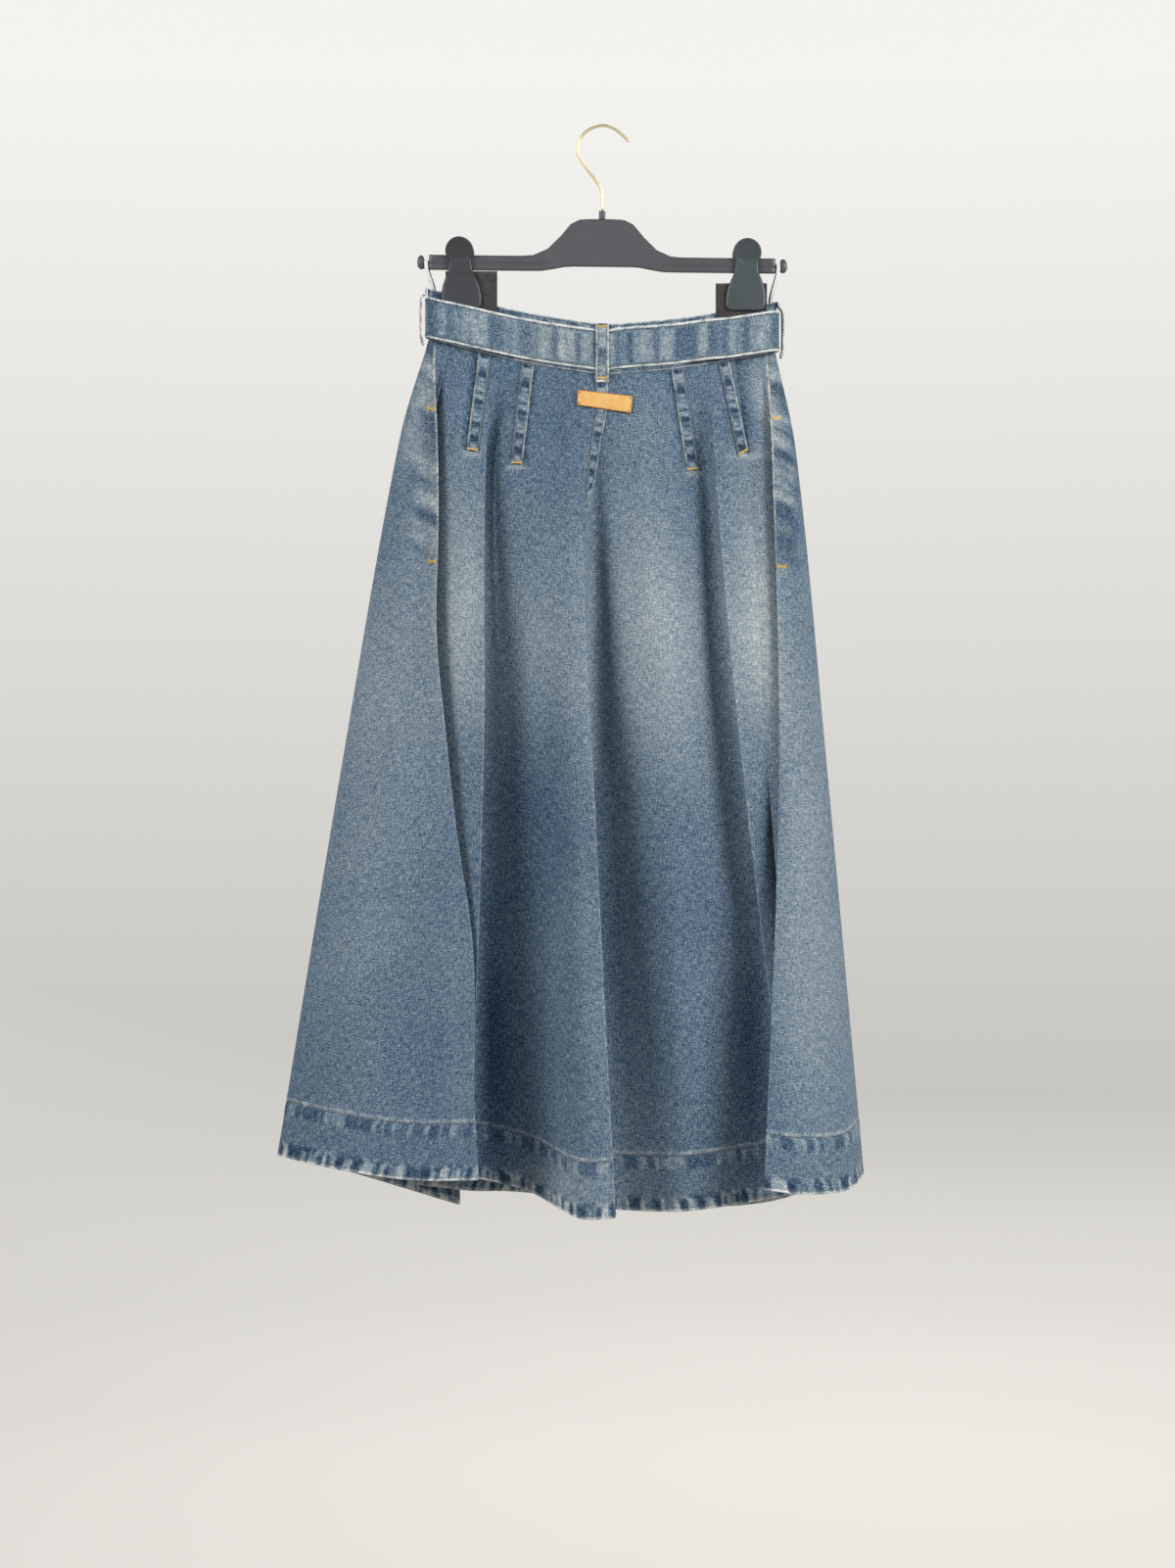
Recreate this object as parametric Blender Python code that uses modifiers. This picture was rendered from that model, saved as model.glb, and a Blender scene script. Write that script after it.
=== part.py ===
"""Denim skirt with its own belt, hung by two padded clips from a plastic hanger.

Frame: origin at the inside top of the hanger's hook, +Z up. The skirt's back faces -Y, its
front +Y, and +X is the wearer's right. Tables are in millimetres, and MM turns them to metres.
"out" is a distance from the mid-plane y = 0, positive towards the back, so y = -out.
"""
from math import cos, hypot, pi, radians, sin, sqrt

import bmesh
import bpy
from mathutils import Vector
from mathutils.bvhtree import BVHTree

MM = 0.001
SEAM_GAP = 0.3              # between pieces that meet

# Cloth thicknesses
PANEL_WALL = 1.2
BAND_WALL = 2.4
BELT_WALL = 2.2
LOOP_WALL = 1.4
FACING_WALL = 1.0
STRIP_WALL = 1.0

# Waistband and belt
BAND_END_X = 172.6          # half the laid-flat width of the waistband
BAND_HEIGHT = 49.5
BAND_END_GAP = 0.4          # from each of its ends to centre front
BAND_TOP_CENTRE = -197.5    # z of the top edge at the middle
BAND_TOP_RISE = 30.9        # how much higher the ends are, as it sags between the clips
BAND_TILT = -6.6            # the left end hangs higher than the right one by twice this
BELT_HEIGHT = 40.5
BELT_DROP = 5.5             # belt's top edge below the waistband's, at the middle
BELT_DROP_ENDS = 3.3        # and how much more at the ends

# The waistband's plan: open in the middle, pinched flat under the clips, open at the ends
CENTRE_OUT = 25.0
PINCH_OUT = 3.4
PINCH_FROM = 101.0
PINCH_TO = 164.4
END_OUT = 5.4
END_FROM = 168.0
PLAN_STEP = 3               # mm between its points, and how many at each end's bend
END_STEPS = 8
FLAT_STEP = 11              # girth between a strip's points on the flats, and how many
FLAT_STEPS = 14
END_OFFSETS = (0, 1.5, 3, 4.5, 6.5, 9, 12, 14)     # girths of its points beside an end's middle

# Hem
HEM_DEPTH = 53.0
FACING_LIFT = 1.5           # the turned-in layer ends this far above the hem's edge
FACING_GAP = 0.4
SKIRT_SECTIONS = (0, 0.06, 0.12, 0.17, 0.22, 0.29, 0.38, 0.5, 0.64, 0.79, 0.9345, 1)
HIP = 0.12                  # where along a line the hip and thigh columns hold
THIGH = 0.5
ROLL = 12.0                 # a fold's edge turns over this much depth
SOFT_LEG = 0.42             # a soft corner is rounded over this share of each side
CRISP_LEG = 0.44            # a fold's corner too, but no further along one side than
LEG_RATIO = 1.3             # this many times the other side's share
POINTS_A_CORNER = 3

# Lines that run down the skirt, round it once from the left side seam over the back.
# girth: where the line leaves the waist seam, in units of 1/712 of the waist from centre back.
# x and out at hip, thigh and hem; hem_z; kind is soft, edge (of a fold) or root (of a fold).
GIRTH = 712.0
LINES = [
    # name               girth x_hip thigh  hem out_hip thigh hem   hem_z  kind
    ("side_left",          -178,  -204, -264, -334,     0,    0,    0,  -1015, "soft"),
    ("left_swell",       -172.5,  -187, -222, -270,    14,   33,   48,  -1026, "soft"),
    ("left_flank",         -168,  -172, -181, -188,    21,   45,   72,  -1037, "soft"),
    ("left_pocket",        -164,  -162, -157, -147,    27,   56,   88,  -1033, "edge"),
    ("left_seam",          -155,  -170, -172, -133,    11,   29,   80,  -1032, "root"),
    ("left_inset",         -145,  -150, -147, -126,    22,   45,   86,  -1031, "soft"),
    ("left_pleat",         -105,  -117, -118, -114,    31,   58,   96,  -1030, "edge"),
    ("left_pleat_in",       -95,  -119, -132, -153,    14,   32,   50,  -1039, "root"),
    ("left_hollow",         -84,  -108, -119, -106,    10,    7,   10,  -1039, "soft"),
    ("left_rise",           -66,   -68,  -65,  -61,    27,   30,   34,  -1060, "soft"),
    ("centre_swell",        -38,   -41,  -32,  -22,    33,   56,   84,  -1069, "soft"),
    ("centre",              -14,   -20,   -9,   12,    34,   62,   96,  -1065, "edge"),
    ("centre_seam",          -5,    -8,  -21,  -18,    33,   38,   52,  -1063, "root"),
    ("centre_hollow",        12,     6,   -4,   12,    29,   12,   12,  -1065, "soft"),
    ("right_rise",           48,    51,   70,   88,    32,   44,   46,  -1065, "soft"),
    ("right_dip",            88,   104,  129,  168,    13,   12,    8,  -1058, "soft"),
    ("right_pleat_in",      101,   109,  150,  214,    22,   22,   14,  -1050, "root"),
    ("right_pleat",         111,   114,  138,  187,    31,   45,   38,  -1048, "edge"),
    ("right_seam",          155,   170,  182,  206,    14,   36,   54,  -1045, "root"),
    ("right_pocket",        164,   167,  173,  157,    24,   50,   82,  -1038, "edge"),
    ("right_flank",         168,   176,  192,  194,    23,   48,   86,  -1046, "soft"),
    ("right_swell",       172.5,   186,  213,  243,    15,   30,   56,  -1046, "soft"),
    ("side_right",          178,   194,  225,  262,     0,    0,    0,  -1032, "soft"),
    ("front_r_swell",       184,   181,  213,  255,   -14,  -32,  -50,  -1046, "soft"),
    ("front_r_flank",       194,   172,  196,  240,   -23,  -54,  -88,  -1056, "soft"),
    ("front_r_fold",        214,   150,  165,  212,   -27,  -60,  -98,  -1065, "edge"),
    ("front_r_fold_in",     224,   140,  175,  224,   -26,  -34,  -54,  -1049, "root"),
    ("front_r_hollow",      238,   125,  146,  181,   -25,  -22,  -30,  -1065, "soft"),
    ("front_r_rise",        262,   105,  118,  135,   -28,  -44,  -62,  -1075, "soft"),
    ("front_r_wave",        290,    73,   86,   97,   -33,  -60,  -96,  -1077, "soft"),
    ("front_r_dip",         325,    37,   42,   48,   -33,  -40,  -50,  -1068, "soft"),
    ("front_seam",          356,     0,    1,   -3,   -36,  -66, -102,  -1072, "soft"),
    ("front_l_dip",         387,   -37,  -42,  -52,   -33,  -40,  -50,  -1062, "soft"),
    ("front_l_wave",        422,   -72,  -86,  -99,   -32,  -58,  -92,  -1062, "soft"),
    ("front_l_rise",        450,  -104, -115, -131,   -27,  -40,  -52,  -1059, "soft"),
    ("front_l_fold_in",     479,  -118, -149, -184,   -25,  -32,  -50,  -1052, "root"),
    ("front_l_fold",        489,  -128, -138, -144,   -27,  -58, -104,  -1078, "edge"),
    ("front_l_flank",       517,  -168, -190, -230,   -21,  -50,  -88,  -1050, "soft"),
    ("front_l_swell",       528,  -188, -226, -290,   -13,  -28,  -42,  -1027, "soft"),
]
PANELS = [                  # name, from the seam after this line, to the seam after that one
    ("back_left", "left_seam", "centre_seam"),
    ("back_right", "centre_seam", "right_pleat"),
    ("front_right", "right_pleat", "front_seam"),
    ("front_left", "front_seam", "left_seam"),
]
SEAM_LINES = ("left_seam", "centre_seam", "right_pleat", "front_seam")

# Strips sewn on the panels: four corners as (x, z), top left, top right, bottom left, bottom right
STRIPS = [
    # name                 top_left          top_right         bottom_left       bottom_right
    ("pleat_back_1",      (-122.3, -224.0), (-110.0, -226.9), (-133.5, -321.5), (-121.9, -323.4)),
    ("pleat_back_2",      (-79.7, -234.0),  (-67.4, -236.7),  (-90.2, -335.2),  (-78.6, -335.6)),
    ("pleat_back_3",      (68.3, -241.8),   (80.8, -240.1),   (83.6, -341.9),   (95.1, -340.0)),
    ("pleat_back_4",      (115.0, -234.6),  (125.8, -232.8),  (133.8, -327.0),  (143.9, -321.5)),
]
FELL_POINTS = [             # centre line and half width of the felled strip, down from the waist
    # x      z       half
    (-0.6,  -258.0,  5.6),
    (-1.4,  -284.0,  5.6),
    (-5.0,  -311.0,  5.2),
    (-7.9,  -334.0,  4.2),
    (-9.6,  -352.0,  2.4),
]
PATCH = ((-24.4, -262.3), (30.1, -268.2), (-25.1, -277.8), (28.4, -285.4))
PATCH_WALL = 1.6
FLY = ((4.0, -262.0), (40.0, -262.0), (4.0, -400.0), (34.0, -392.0))
STRIP_LIFT = 0.5            # how far each lies off the panels
FELL_LIFT = 0.6
FLY_LIFT = 0.8

# Hanger, with heights from the bar's middle line
BAR_MID_Z = -135.8
BAR_TILT = 0.63             # degrees, left end higher
BAR_DEPTH = 7.0
BAR_HALF_HEIGHT = 7.4
BAR_TOP = [                 # x from the middle, height of the upper edge
    (0, 44.6), (22, 44.2), (31, 39.5), (41, 27.5), (54, 14.6), (68, BAR_HALF_HEIGHT),
    (171.5, BAR_HALF_HEIGHT), (172.3, 1.5), (176.3, 1.5), (177.2, 6.0), (180.0, 7.2), (183.2, 4.0),
]
BAR_BOTTOM = [(183.2, -4.0), (180.0, -7.2), (60, -BAR_HALF_HEIGHT), (48, -4.4), (34, -2.6), (0, -2.6)]
FERRULE_RADIUS = 3.3
FERRULE_HEIGHT = 7.6
WIRE = 2.8                  # hook wire's diameter
HOOK_POINTS = [             # centre line of the wire, x and z, from the ferrule to the tip
    (0.0, -83.0), (0.0, -66.9), (-2.6, -58.6), (-9.0, -49.4), (-15.9, -40.7), (-22.0, -30.8),
    (-23.9, -21.2), (-21.6, -11.8), (-15.9, -4.6), (-7.3, -0.1), (1.6, 1.4), (9.4, -0.6),
    (16.2, -4.8), (22.0, -9.8), (26.6, -14.6),
]

# Clips: half widths and outs of a lever from its round thumb tab down to its foot
CLIP_WALL = 3.0
CLIPS = [("clip_left", -141.6, -138.7, 0.8), ("clip_right", 143.6, 141.8, -0.8)]   # top x, foot x, z shift
LEVER_ROWS = [
    # z      half_width  out (inner face)
    (-110.9, 4.5, 13.0),
    (-113.0, 8.4, 12.2),
    (-117.5, 12.2, 10.4),
    (-124.6, 14.0, 7.2),
    (-131.5, 12.6, 4.2),
    (-138.0, 11.6, 4.0),
    (-143.5, 12.0, 4.1),
    (-151.0, 14.2, 5.6),
    (-158.0, 16.6, 5.7),
    (-165.0, 18.8, 5.7),
    (-172.0, 19.8, 5.7),
    (-181.0, 19.6, 5.7),
]
PAD_INNER = PINCH_OUT + SEAM_GAP
PAD_WALL = 1.6
PADS = [                    # name, x from, to, foot z, z it is straight up to, top z, half width of its fold
    ("pad_left", -155.0, -104.0, -194.4, -157.5, -142.6, 2.1),
    ("pad_right", 112.5, 163.0, -196.6, -162.6, -154.6, PAD_INNER),
]
PAD_BEND = 4.5              # height of that fold

# Waistband's top where the clips squeeze it up, by distance from the middle
GRIP_FROM = (112, 128)
GRIP_TO = (146, 162)
GRIP_RISE = 6.0

# Belt: how far it stands off the band, where it climbs over the clips' feet and back
BELT_CLEAR = 0.5
FOOT_CLEAR = 1.0            # in front of and behind a foot, together
OVER_FEET_FROM = (78, 108)
OVER_FEET_TO = (164.5, 171.5)

# Belt ends and buckle, at the front
BELT_START = GIRTH / 2 + 26.0           # girth of the buckle end, just past the buckle's bar
BAR_GIRTH = GIRTH * 3 / 2 + 20.0        # where the tip passes over the bar
RAIL_GIRTH = GIRTH * 3 / 2 - 22.0       # where it passes under the frame's other side
BELT_TIP = BAR_GIRTH + 104.0
BAR_WIRE = 3.2
BAR_OUT = 26.2                          # outs of the bar's and the other side's centre lines
RAIL_OUT = 27.8
BELT_LIFTS = [              # how far the belt's outer face stands beyond its plain run, by girth
    # girth               lift
    (BELT_START,          0.0),
    (RAIL_GIRTH + 4.0,    0.0),
    (BAR_GIRTH - 5.0,     4.9),
    (BAR_GIRTH + 5.0,     4.9),
    (BAR_GIRTH + 24.0,    2.8),
    (BELT_TIP,            2.8),
]
PRONG_WALL = 1.8
PRONG_HALF = 1.7
PRONG_ROUTE = [             # from the bar (0) or the other side (1): x beyond it, y
    (0, -1, 32.8), (0, 13, 32.8), (1, -13, 31.6), (1, 0, 30.3), (1, 4, 30.1),
]
FRAME_ROOM = 1.6            # between the belt's edges and the frame
FRAME_CORNER = 0.12         # share of a side that its corner's rounding takes

# Belt loops
LOOP_CLEAR = 0.5            # from the band and the skirt
LOOP_OVER_BELT = 0.7
LOOP_WIDTH = 12.6
LOOPS = [
    # name               girth              over  tail  flare
    ("loop_back",        0.0,               0.0,  11.5, 0.12),
    ("loop_right",       GIRTH / 4,         0.0,  6.4,  0.42),
    ("loop_front_right", GIRTH / 2 - 62.0,  0.0,  9.0,  0.24),
    ("loop_front_left",  GIRTH / 2 + 62.0,  3.6,  9.0,  0.24),
    ("loop_left",        GIRTH * 3 / 4,     0.0,  6.4,  0.42),
]

# Waist button, under the belt at the front
BUTTON_RADIUS = 6.5
BUTTON_WALL = 2.0
BUTTON_PLACE = (-5.0, CENTRE_OUT + SEAM_GAP + BUTTON_WALL / 2, BAND_TOP_CENTRE - BAND_HEIGHT / 2)

# Hanging ribbons: loops from inside the band's ends over the notches in the bar
RIBBON_WIDTH = 3.4
RIBBON_WALL = 1.0
RIBBON_GAP = 0.4            # from the bar
NOTCH_X = 174.3
NOTCH_HEIGHT = 1.5          # of the bar's edge there, above its middle line
RIBBON_IN = 14.0            # how deep it hangs inside the band
RIBBON_STRAIGHT = 15.0      # and is flat from there up
RIBBON_LEAN = 7.0           # how much nearer the middle its foot is


def new_material(name, colour, roughness, metallic=0.0):
    material = bpy.data.materials.new(name)
    material.use_nodes = True
    shader = material.node_tree.nodes["Principled BSDF"]
    shader.inputs["Base Color"].default_value = (*colour, 1)
    shader.inputs["Roughness"].default_value = roughness
    shader.inputs["Metallic"].default_value = metallic
    return material


for old in list(bpy.data.objects):
    bpy.data.objects.remove(old, do_unlink=True)
COLLECTION = bpy.data.collections.new("denim_skirt_on_clip_hanger")
bpy.context.scene.collection.children.link(COLLECTION)

DENIM = new_material("denim", (0.17, 0.225, 0.29), 0.9)
DENIM_INSIDE = new_material("denim_inside", (0.04, 0.07, 0.12), 0.9)
LEATHER = new_material("leather", (0.72, 0.40, 0.14), 0.5)
BRASS = new_material("brass", (0.80, 0.66, 0.38), 0.25, 1.0)
GREY_PLASTIC = new_material("grey_plastic", (0.11, 0.11, 0.12), 0.35)
FELT = new_material("black_felt", (0.05, 0.05, 0.05), 0.95)
RIBBON = new_material("white_ribbon", (0.75, 0.75, 0.74), 0.6)


def add_object(name, data, material, smooth=True):
    """Put data in the part's collection as an object with one material."""
    thing = bpy.data.objects.new(name, data)
    COLLECTION.objects.link(thing)
    data.materials.append(material)
    if smooth and isinstance(data, bpy.types.Mesh):
        data.shade_smooth()
    return thing


def grid_mesh(name, rows):
    """An open surface through rows of points in millimetres. Rows run down, points run along."""
    shape = bmesh.new()
    verts = [[shape.verts.new(Vector(point) * MM) for point in row] for row in rows]
    for upper, lower in zip(verts, verts[1:]):
        for a, b, c, d in zip(upper, upper[1:], lower[1:], lower):
            shape.faces.new((a, d, c))
            shape.faces.new((a, c, b))
    mesh = bpy.data.meshes.new(name)
    shape.to_mesh(mesh)
    shape.free()
    return mesh


def thicken(thing, wall, offset=-1.0):
    """Give an open surface a wall. Offset -1 grows it inwards, 1 outwards."""
    solid = thing.modifiers.new("wall", "SOLIDIFY")
    solid.thickness = wall * MM
    solid.offset = offset
    solid.use_even_offset = True
    solid.use_quality_normals = True
    return thing


def add_wall(name, rows, wall, material, offset=-1.0):
    return thicken(add_object(name, grid_mesh(name, rows), material), wall, offset)


def steps(start, stop, count):
    return [start + (stop - start) * i / count for i in range(count + 1)]


def smooth_step(low, high, value):
    part = min(max((value - low) / (high - low), 0.0), 1.0)
    return part * part * (3 - 2 * part)


# ---- Waist: its plan and its heights ----

def band_out(x):
    """How far the waistband's outer face stands from the mid-plane."""
    across = abs(x)
    if across < PINCH_FROM:
        return PINCH_OUT + (CENTRE_OUT - PINCH_OUT) * (0.5 + 0.5 * cos(pi * across / PINCH_FROM))
    if across < END_FROM:
        return PINCH_OUT + (END_OUT - PINCH_OUT) * smooth_step(PINCH_TO, END_FROM, across)
    return END_OUT * sqrt(max(0.0, 1 - ((across - END_FROM) / (BAND_END_X - END_FROM)) ** 2))


def belt_out(x):
    """The belt follows the band, and stands off it to pass over the clips' feet."""
    across = abs(x)
    over_feet = PAD_INNER + PAD_WALL + CLIP_WALL + FOOT_CLEAR - PINCH_OUT
    lift = smooth_step(*OVER_FEET_FROM, across) - smooth_step(*OVER_FEET_TO, across)
    return band_out(min(across, END_FROM)) + BELT_CLEAR + over_feet * lift


def closed_plan(out_at, end_x, end_from):
    """Points (x, out) round the waist from centre back, over +X, the front and -X, and home."""
    quarter = [(x, out_at(x)) for x in range(0, int(end_from), PLAN_STEP)]
    end_depth = out_at(end_from)
    for turn in steps(0, pi / 2, END_STEPS):
        quarter.append((end_from + (end_x - end_from) * sin(turn), end_depth * cos(turn)))
    half = quarter + [(x, -out) for x, out in reversed(quarter[:-1])]
    return half + [(-x, out) for x, out in reversed(half[1:-1])] + [half[0]]


class Plan:
    """A closed plan curve, read by girth, 0 to GIRTH units from centre back."""

    def __init__(self, points):
        self.points = points
        self.reach = [0.0]
        for a, b in zip(points, points[1:]):
            self.reach.append(self.reach[-1] + hypot(b[0] - a[0], b[1] - a[1]))
        self.length = self.reach[-1]

    def at(self, girth, inset=0.0):
        """Point (x, out) at a girth, moved inwards by inset."""
        distance = (girth % GIRTH) / GIRTH * self.length
        index = max(i for i, reach in enumerate(self.reach[:-1]) if reach <= distance)
        a, b = self.points[index], self.points[index + 1]
        span = self.reach[index + 1] - self.reach[index]
        part = (distance - self.reach[index]) / span
        along = ((b[0] - a[0]) / span, (b[1] - a[1]) / span)
        x = a[0] + (b[0] - a[0]) * part + along[1] * inset
        out = a[1] + (b[1] - a[1]) * part - along[0] * inset
        return x, out


BAND_PLAN = Plan(closed_plan(band_out, BAND_END_X, END_FROM))
BELT_PLAN = Plan(closed_plan(belt_out, BAND_END_X + BELT_CLEAR, END_FROM))


def band_top(x):
    """Height of the waistband's top edge, raised a little where a clip grips it."""
    across = x / BAND_END_X
    return BAND_TOP_CENTRE + BAND_TOP_RISE * min(abs(across), 1.0) ** 1.3 + BAND_TILT * across


def gripped_top(x):
    grip = smooth_step(*GRIP_FROM, abs(x)) - smooth_step(*GRIP_TO, abs(x))
    return band_top(x) + GRIP_RISE * grip


def belt_top(x):
    across = x / BAND_END_X
    return band_top(x) - BELT_DROP - BELT_DROP_ENDS * across * across


def plan_girths(start, stop):
    """Girths for a strip round the waist: long steps on the flats, short ones at the ends."""
    marks = [start, stop]
    for turn in range(-1, 4):
        base = turn * GIRTH / 2
        for side in (-1, 1):
            middle = base + side * GIRTH / 4
            marks += [middle + way * offset for offset in END_OFFSETS for way in (-1, 1)]
        marks += [base + step * FLAT_STEP for step in range(-FLAT_STEPS, FLAT_STEPS + 1)]
    return sorted({round(mark, 2) for mark in marks if start <= mark <= stop})


# ---- Skirt panels ----

def eased(values, places, at):
    """Read a smooth curve through values at their places."""
    slopes = []
    for i in range(len(values)):
        low, high = max(i - 1, 0), min(i + 1, len(values) - 1)
        slopes.append((values[high] - values[low]) / (places[high] - places[low]))
    index = max(i for i in range(len(places) - 1) if places[i] <= at)
    span = places[index + 1] - places[index]
    t = (at - places[index]) / span
    start, stop = values[index], values[index + 1]
    return ((2 * t ** 3 - 3 * t ** 2 + 1) * start + (t ** 3 - 2 * t ** 2 + t) * span * slopes[index]
            + (-2 * t ** 3 + 3 * t ** 2) * stop + (t ** 3 - t ** 2) * span * slopes[index + 1])


def waist_seam(x):
    return band_top(x) - BAND_HEIGHT - SEAM_GAP


def line_point(line, s):
    """Point (x, out, z) of a line at s, 0 at the waist seam and 1 at the hem."""
    name, girth, x_hip, x_thigh, x_hem, out_hip, out_thigh, out_hem, hem_z, kind = line
    x_top, out_top = BAND_PLAN.at(girth, inset=(BAND_WALL - PANEL_WALL) / 2)
    places = (0, HIP, THIGH, 1)
    x = eased((x_top, x_hip, x_thigh, x_hem), places, s)
    out = eased((out_top, out_hip, out_thigh, out_hem), places, s)
    top_z = waist_seam(x_top)
    return x, out, top_z + (hem_z - top_z) * s


def blend(a, b, part):
    return tuple(p + (q - p) * part for p, q in zip(a, b))


def turned_fold(first, second, first_is_edge, ahead):
    """The four corners of a fold between its edge and its root, in the order they are met.

    The cloth turns over at the edge through a roll of some depth, and back again at the root,
    so that no wall is bent double. Where the fold is shut the four lie in one line.
    """
    edge, root = (first, second) if first_is_edge else (second, first)
    top_way = ahead if first_is_edge else -ahead
    gap = hypot(root[0] - edge[0], root[1] - edge[1])
    across = min(1.0, max(0.0, (root[0] - edge[0]) * top_way / gap))
    inward = -1 if edge[1] > root[1] else 1
    roll = min(ROLL, gap / 2.6, max(abs(edge[1] - root[1]) / 2.2, gap * across / 2.6))
    step = (across * top_way * roll, sqrt(1 - across ** 2) * inward * roll)
    under = (edge[0] + step[0], edge[1] + step[1], blend(edge, root, 0.2)[2])
    turn = (root[0] - step[0], root[1] - step[1], blend(edge, root, 0.8)[2])
    corners = [edge, under, turn, root]
    return corners if first_is_edge else corners[::-1]


def level_corners(s):
    """The section's corners at s, in order: (line name, kind, point)."""
    corners = []
    points = [line_point(line, s) for line in LINES]
    i = 0
    while i < len(LINES):
        name, kind = LINES[i][0], LINES[i][-1]
        if kind == "soft":
            corners.append((name, kind, points[i]))
            i += 1
            continue
        ahead = 1 if points[i][0] > points[i - 1][0] else -1
        four = turned_fold(points[i], points[i + 1], kind == "edge", ahead)
        names = (name, "", "", LINES[i + 1][0])
        corners += [(label, "crisp", corner) for label, corner in zip(names, four)]
        i += 2
    return corners


def leg_end(corner, towards, other, kind):
    """Where a corner's rounding ends on the side of a neighbour."""
    gap = hypot(towards[0] - corner[0], towards[1] - corner[1])
    if kind == "soft":
        return blend(corner, towards, SOFT_LEG)
    other_gap = hypot(other[0] - corner[0], other[1] - corner[1])
    reach = CRISP_LEG * min(gap, other_gap * LEG_RATIO)
    return blend(corner, towards, reach / gap)


def level_points(s):
    """The rounded section at s, and the index of each seam's point in it."""
    corners = level_corners(s)
    count = len(corners)
    points, seams = [], {}
    for i, (name, kind, corner) in enumerate(corners):
        before, after = corners[i - 1][2], corners[(i + 1) % count][2]
        start, stop = leg_end(corner, before, after, kind), leg_end(corner, after, before, kind)
        for t in steps(0, 1, POINTS_A_CORNER - 1):
            points.append(blend(blend(start, corner, t), blend(corner, stop, t), t))
        if name in SEAM_LINES:
            next_kind = corners[(i + 1) % count][1]
            next_start = leg_end(after, corner, corners[(i + 2) % count][2], next_kind)
            seams[name] = len(points)
            points.append(blend(stop, next_start, 0.5))
    if s == 0:
        points = [(x, out, waist_seam(x)) for x, out, z in points]
    return points, seams


LEVELS = [level_points(s) for s in SKIRT_SECTIONS]


def panel_rows(first_seam, last_seam, levels):
    """Rows of (x, y, z) between two seams, each end half a seam gap short of its seam."""
    rows = []
    for points, seams in levels:
        start, stop = seams[first_seam], seams[last_seam]
        if stop < start:
            row = points[start:] + points[:stop + 1]
        else:
            row = points[start:stop + 1]
        row = list(row)
        for end, beside in ((0, 1), (-1, -2)):
            a, b = row[end], row[beside]
            row[end] = blend(a, b, SEAM_GAP / 2 / hypot(b[0] - a[0], b[1] - a[1]))
        rows.append([(x, -out, z) for x, out, z in row])
    return rows


def make_panels():
    for name, first, last in PANELS:
        rows = panel_rows(first, last, LEVELS)
        add_wall(name, rows, PANEL_WALL, DENIM)
        hem_rows = [list(row) for row in rows[-2:]]
        hem_rows[-1] = [blend(low, high, FACING_LIFT / HEM_DEPTH) for high, low in zip(*hem_rows)]
        middle = PANEL_WALL + FACING_GAP + FACING_WALL / 2
        add_wall("hem_facing_" + name, hem_rows, FACING_WALL, DENIM_INSIDE, -middle / (FACING_WALL / 2))


def skirt_surface():
    """The whole outer surface of the skirt, for seating what lies on it."""
    verts, faces = [], []
    for points, seams in LEVELS:
        verts += [Vector((x, -out, z)) * MM for x, out, z in points]
    count = len(LEVELS[0][0])
    for level in range(len(LEVELS) - 1):
        for i in range(count):
            here, beside = level * count + i, level * count + (i + 1) % count
            faces += [(here, here + count, beside + count), (here, beside + count, beside)]
    return BVHTree.FromPolygons(verts, faces)


def seated(tree, x, z, side, lift):
    """The point of a surface at x, z seen from the back (side 1) or front (-1), moved out."""
    far = Vector((x, -400 * side, z)) * MM
    place = tree.ray_cast(far, Vector((0, side, 0)))[0]
    return x, place.y / MM - side * lift, z


def strip_rows(tree, corners, across, down, side, lift):
    top_left, top_right, low_left, low_right = corners
    rows = []
    for part in steps(0, 1, down):
        left, right = blend(top_left, low_left, part), blend(top_right, low_right, part)
        rows.append([seated(tree, *blend(left, right, t), side, lift) for t in steps(0, 1, across)])
    return rows


def make_strips():
    skirt = skirt_surface()
    for name, *corners in STRIPS:
        add_wall(name, strip_rows(skirt, corners, 3, 12, 1, STRIP_LIFT), STRIP_WALL, DENIM, 1.0)
    rows = []
    for at in steps(0, len(FELL_POINTS) - 1, 2 * (len(FELL_POINTS) - 1)):
        x, z, half = (eased(column, range(len(FELL_POINTS)), at) for column in zip(*FELL_POINTS))
        rows.append([seated(skirt, x + half * t, z, 1, FELL_LIFT) for t in steps(-1, 1, 4)])
    add_wall("back_seam_fell", rows, STRIP_WALL, DENIM, 1.0)
    patch_rows = strip_rows(skirt, PATCH, 10, 4, 1, FELL_LIFT + STRIP_WALL + SEAM_GAP)
    add_wall("leather_patch", patch_rows, PATCH_WALL, LEATHER, 1.0)
    fly = strip_rows(skirt, FLY, 6, 8, -1, FLY_LIFT)
    add_wall("fly_strip", [list(reversed(row)) for row in fly], STRIP_WALL, DENIM, 1.0)


# ---- Waistband, belt and loops ----

def round_rows(plan, girths, heights, inset_at):
    """Rows round the waist: heights are functions of x, inset_at a function of girth."""
    rows = []
    for height in heights:
        row = []
        for girth in girths:
            x, out = plan.at(girth, inset_at(girth))
            row.append((x, -out, height(x)))
        rows.append(row)
    return rows


def make_waistband():
    front = GIRTH / 2
    girths = plan_girths(front - GIRTH + BAND_END_GAP, front - BAND_END_GAP)
    rows = round_rows(BAND_PLAN, girths, (gripped_top, lambda x: band_top(x) - BAND_HEIGHT), lambda girth: 0.0)
    add_wall("waistband", rows, BAND_WALL, DENIM)


def belt_lift(girth):
    for (low, lift), (high, next_lift) in zip(BELT_LIFTS, BELT_LIFTS[1:]):
        if low <= girth <= high:
            return lift + (next_lift - lift) * smooth_step(low, high, girth)
    return BELT_LIFTS[-1][1]


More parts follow.
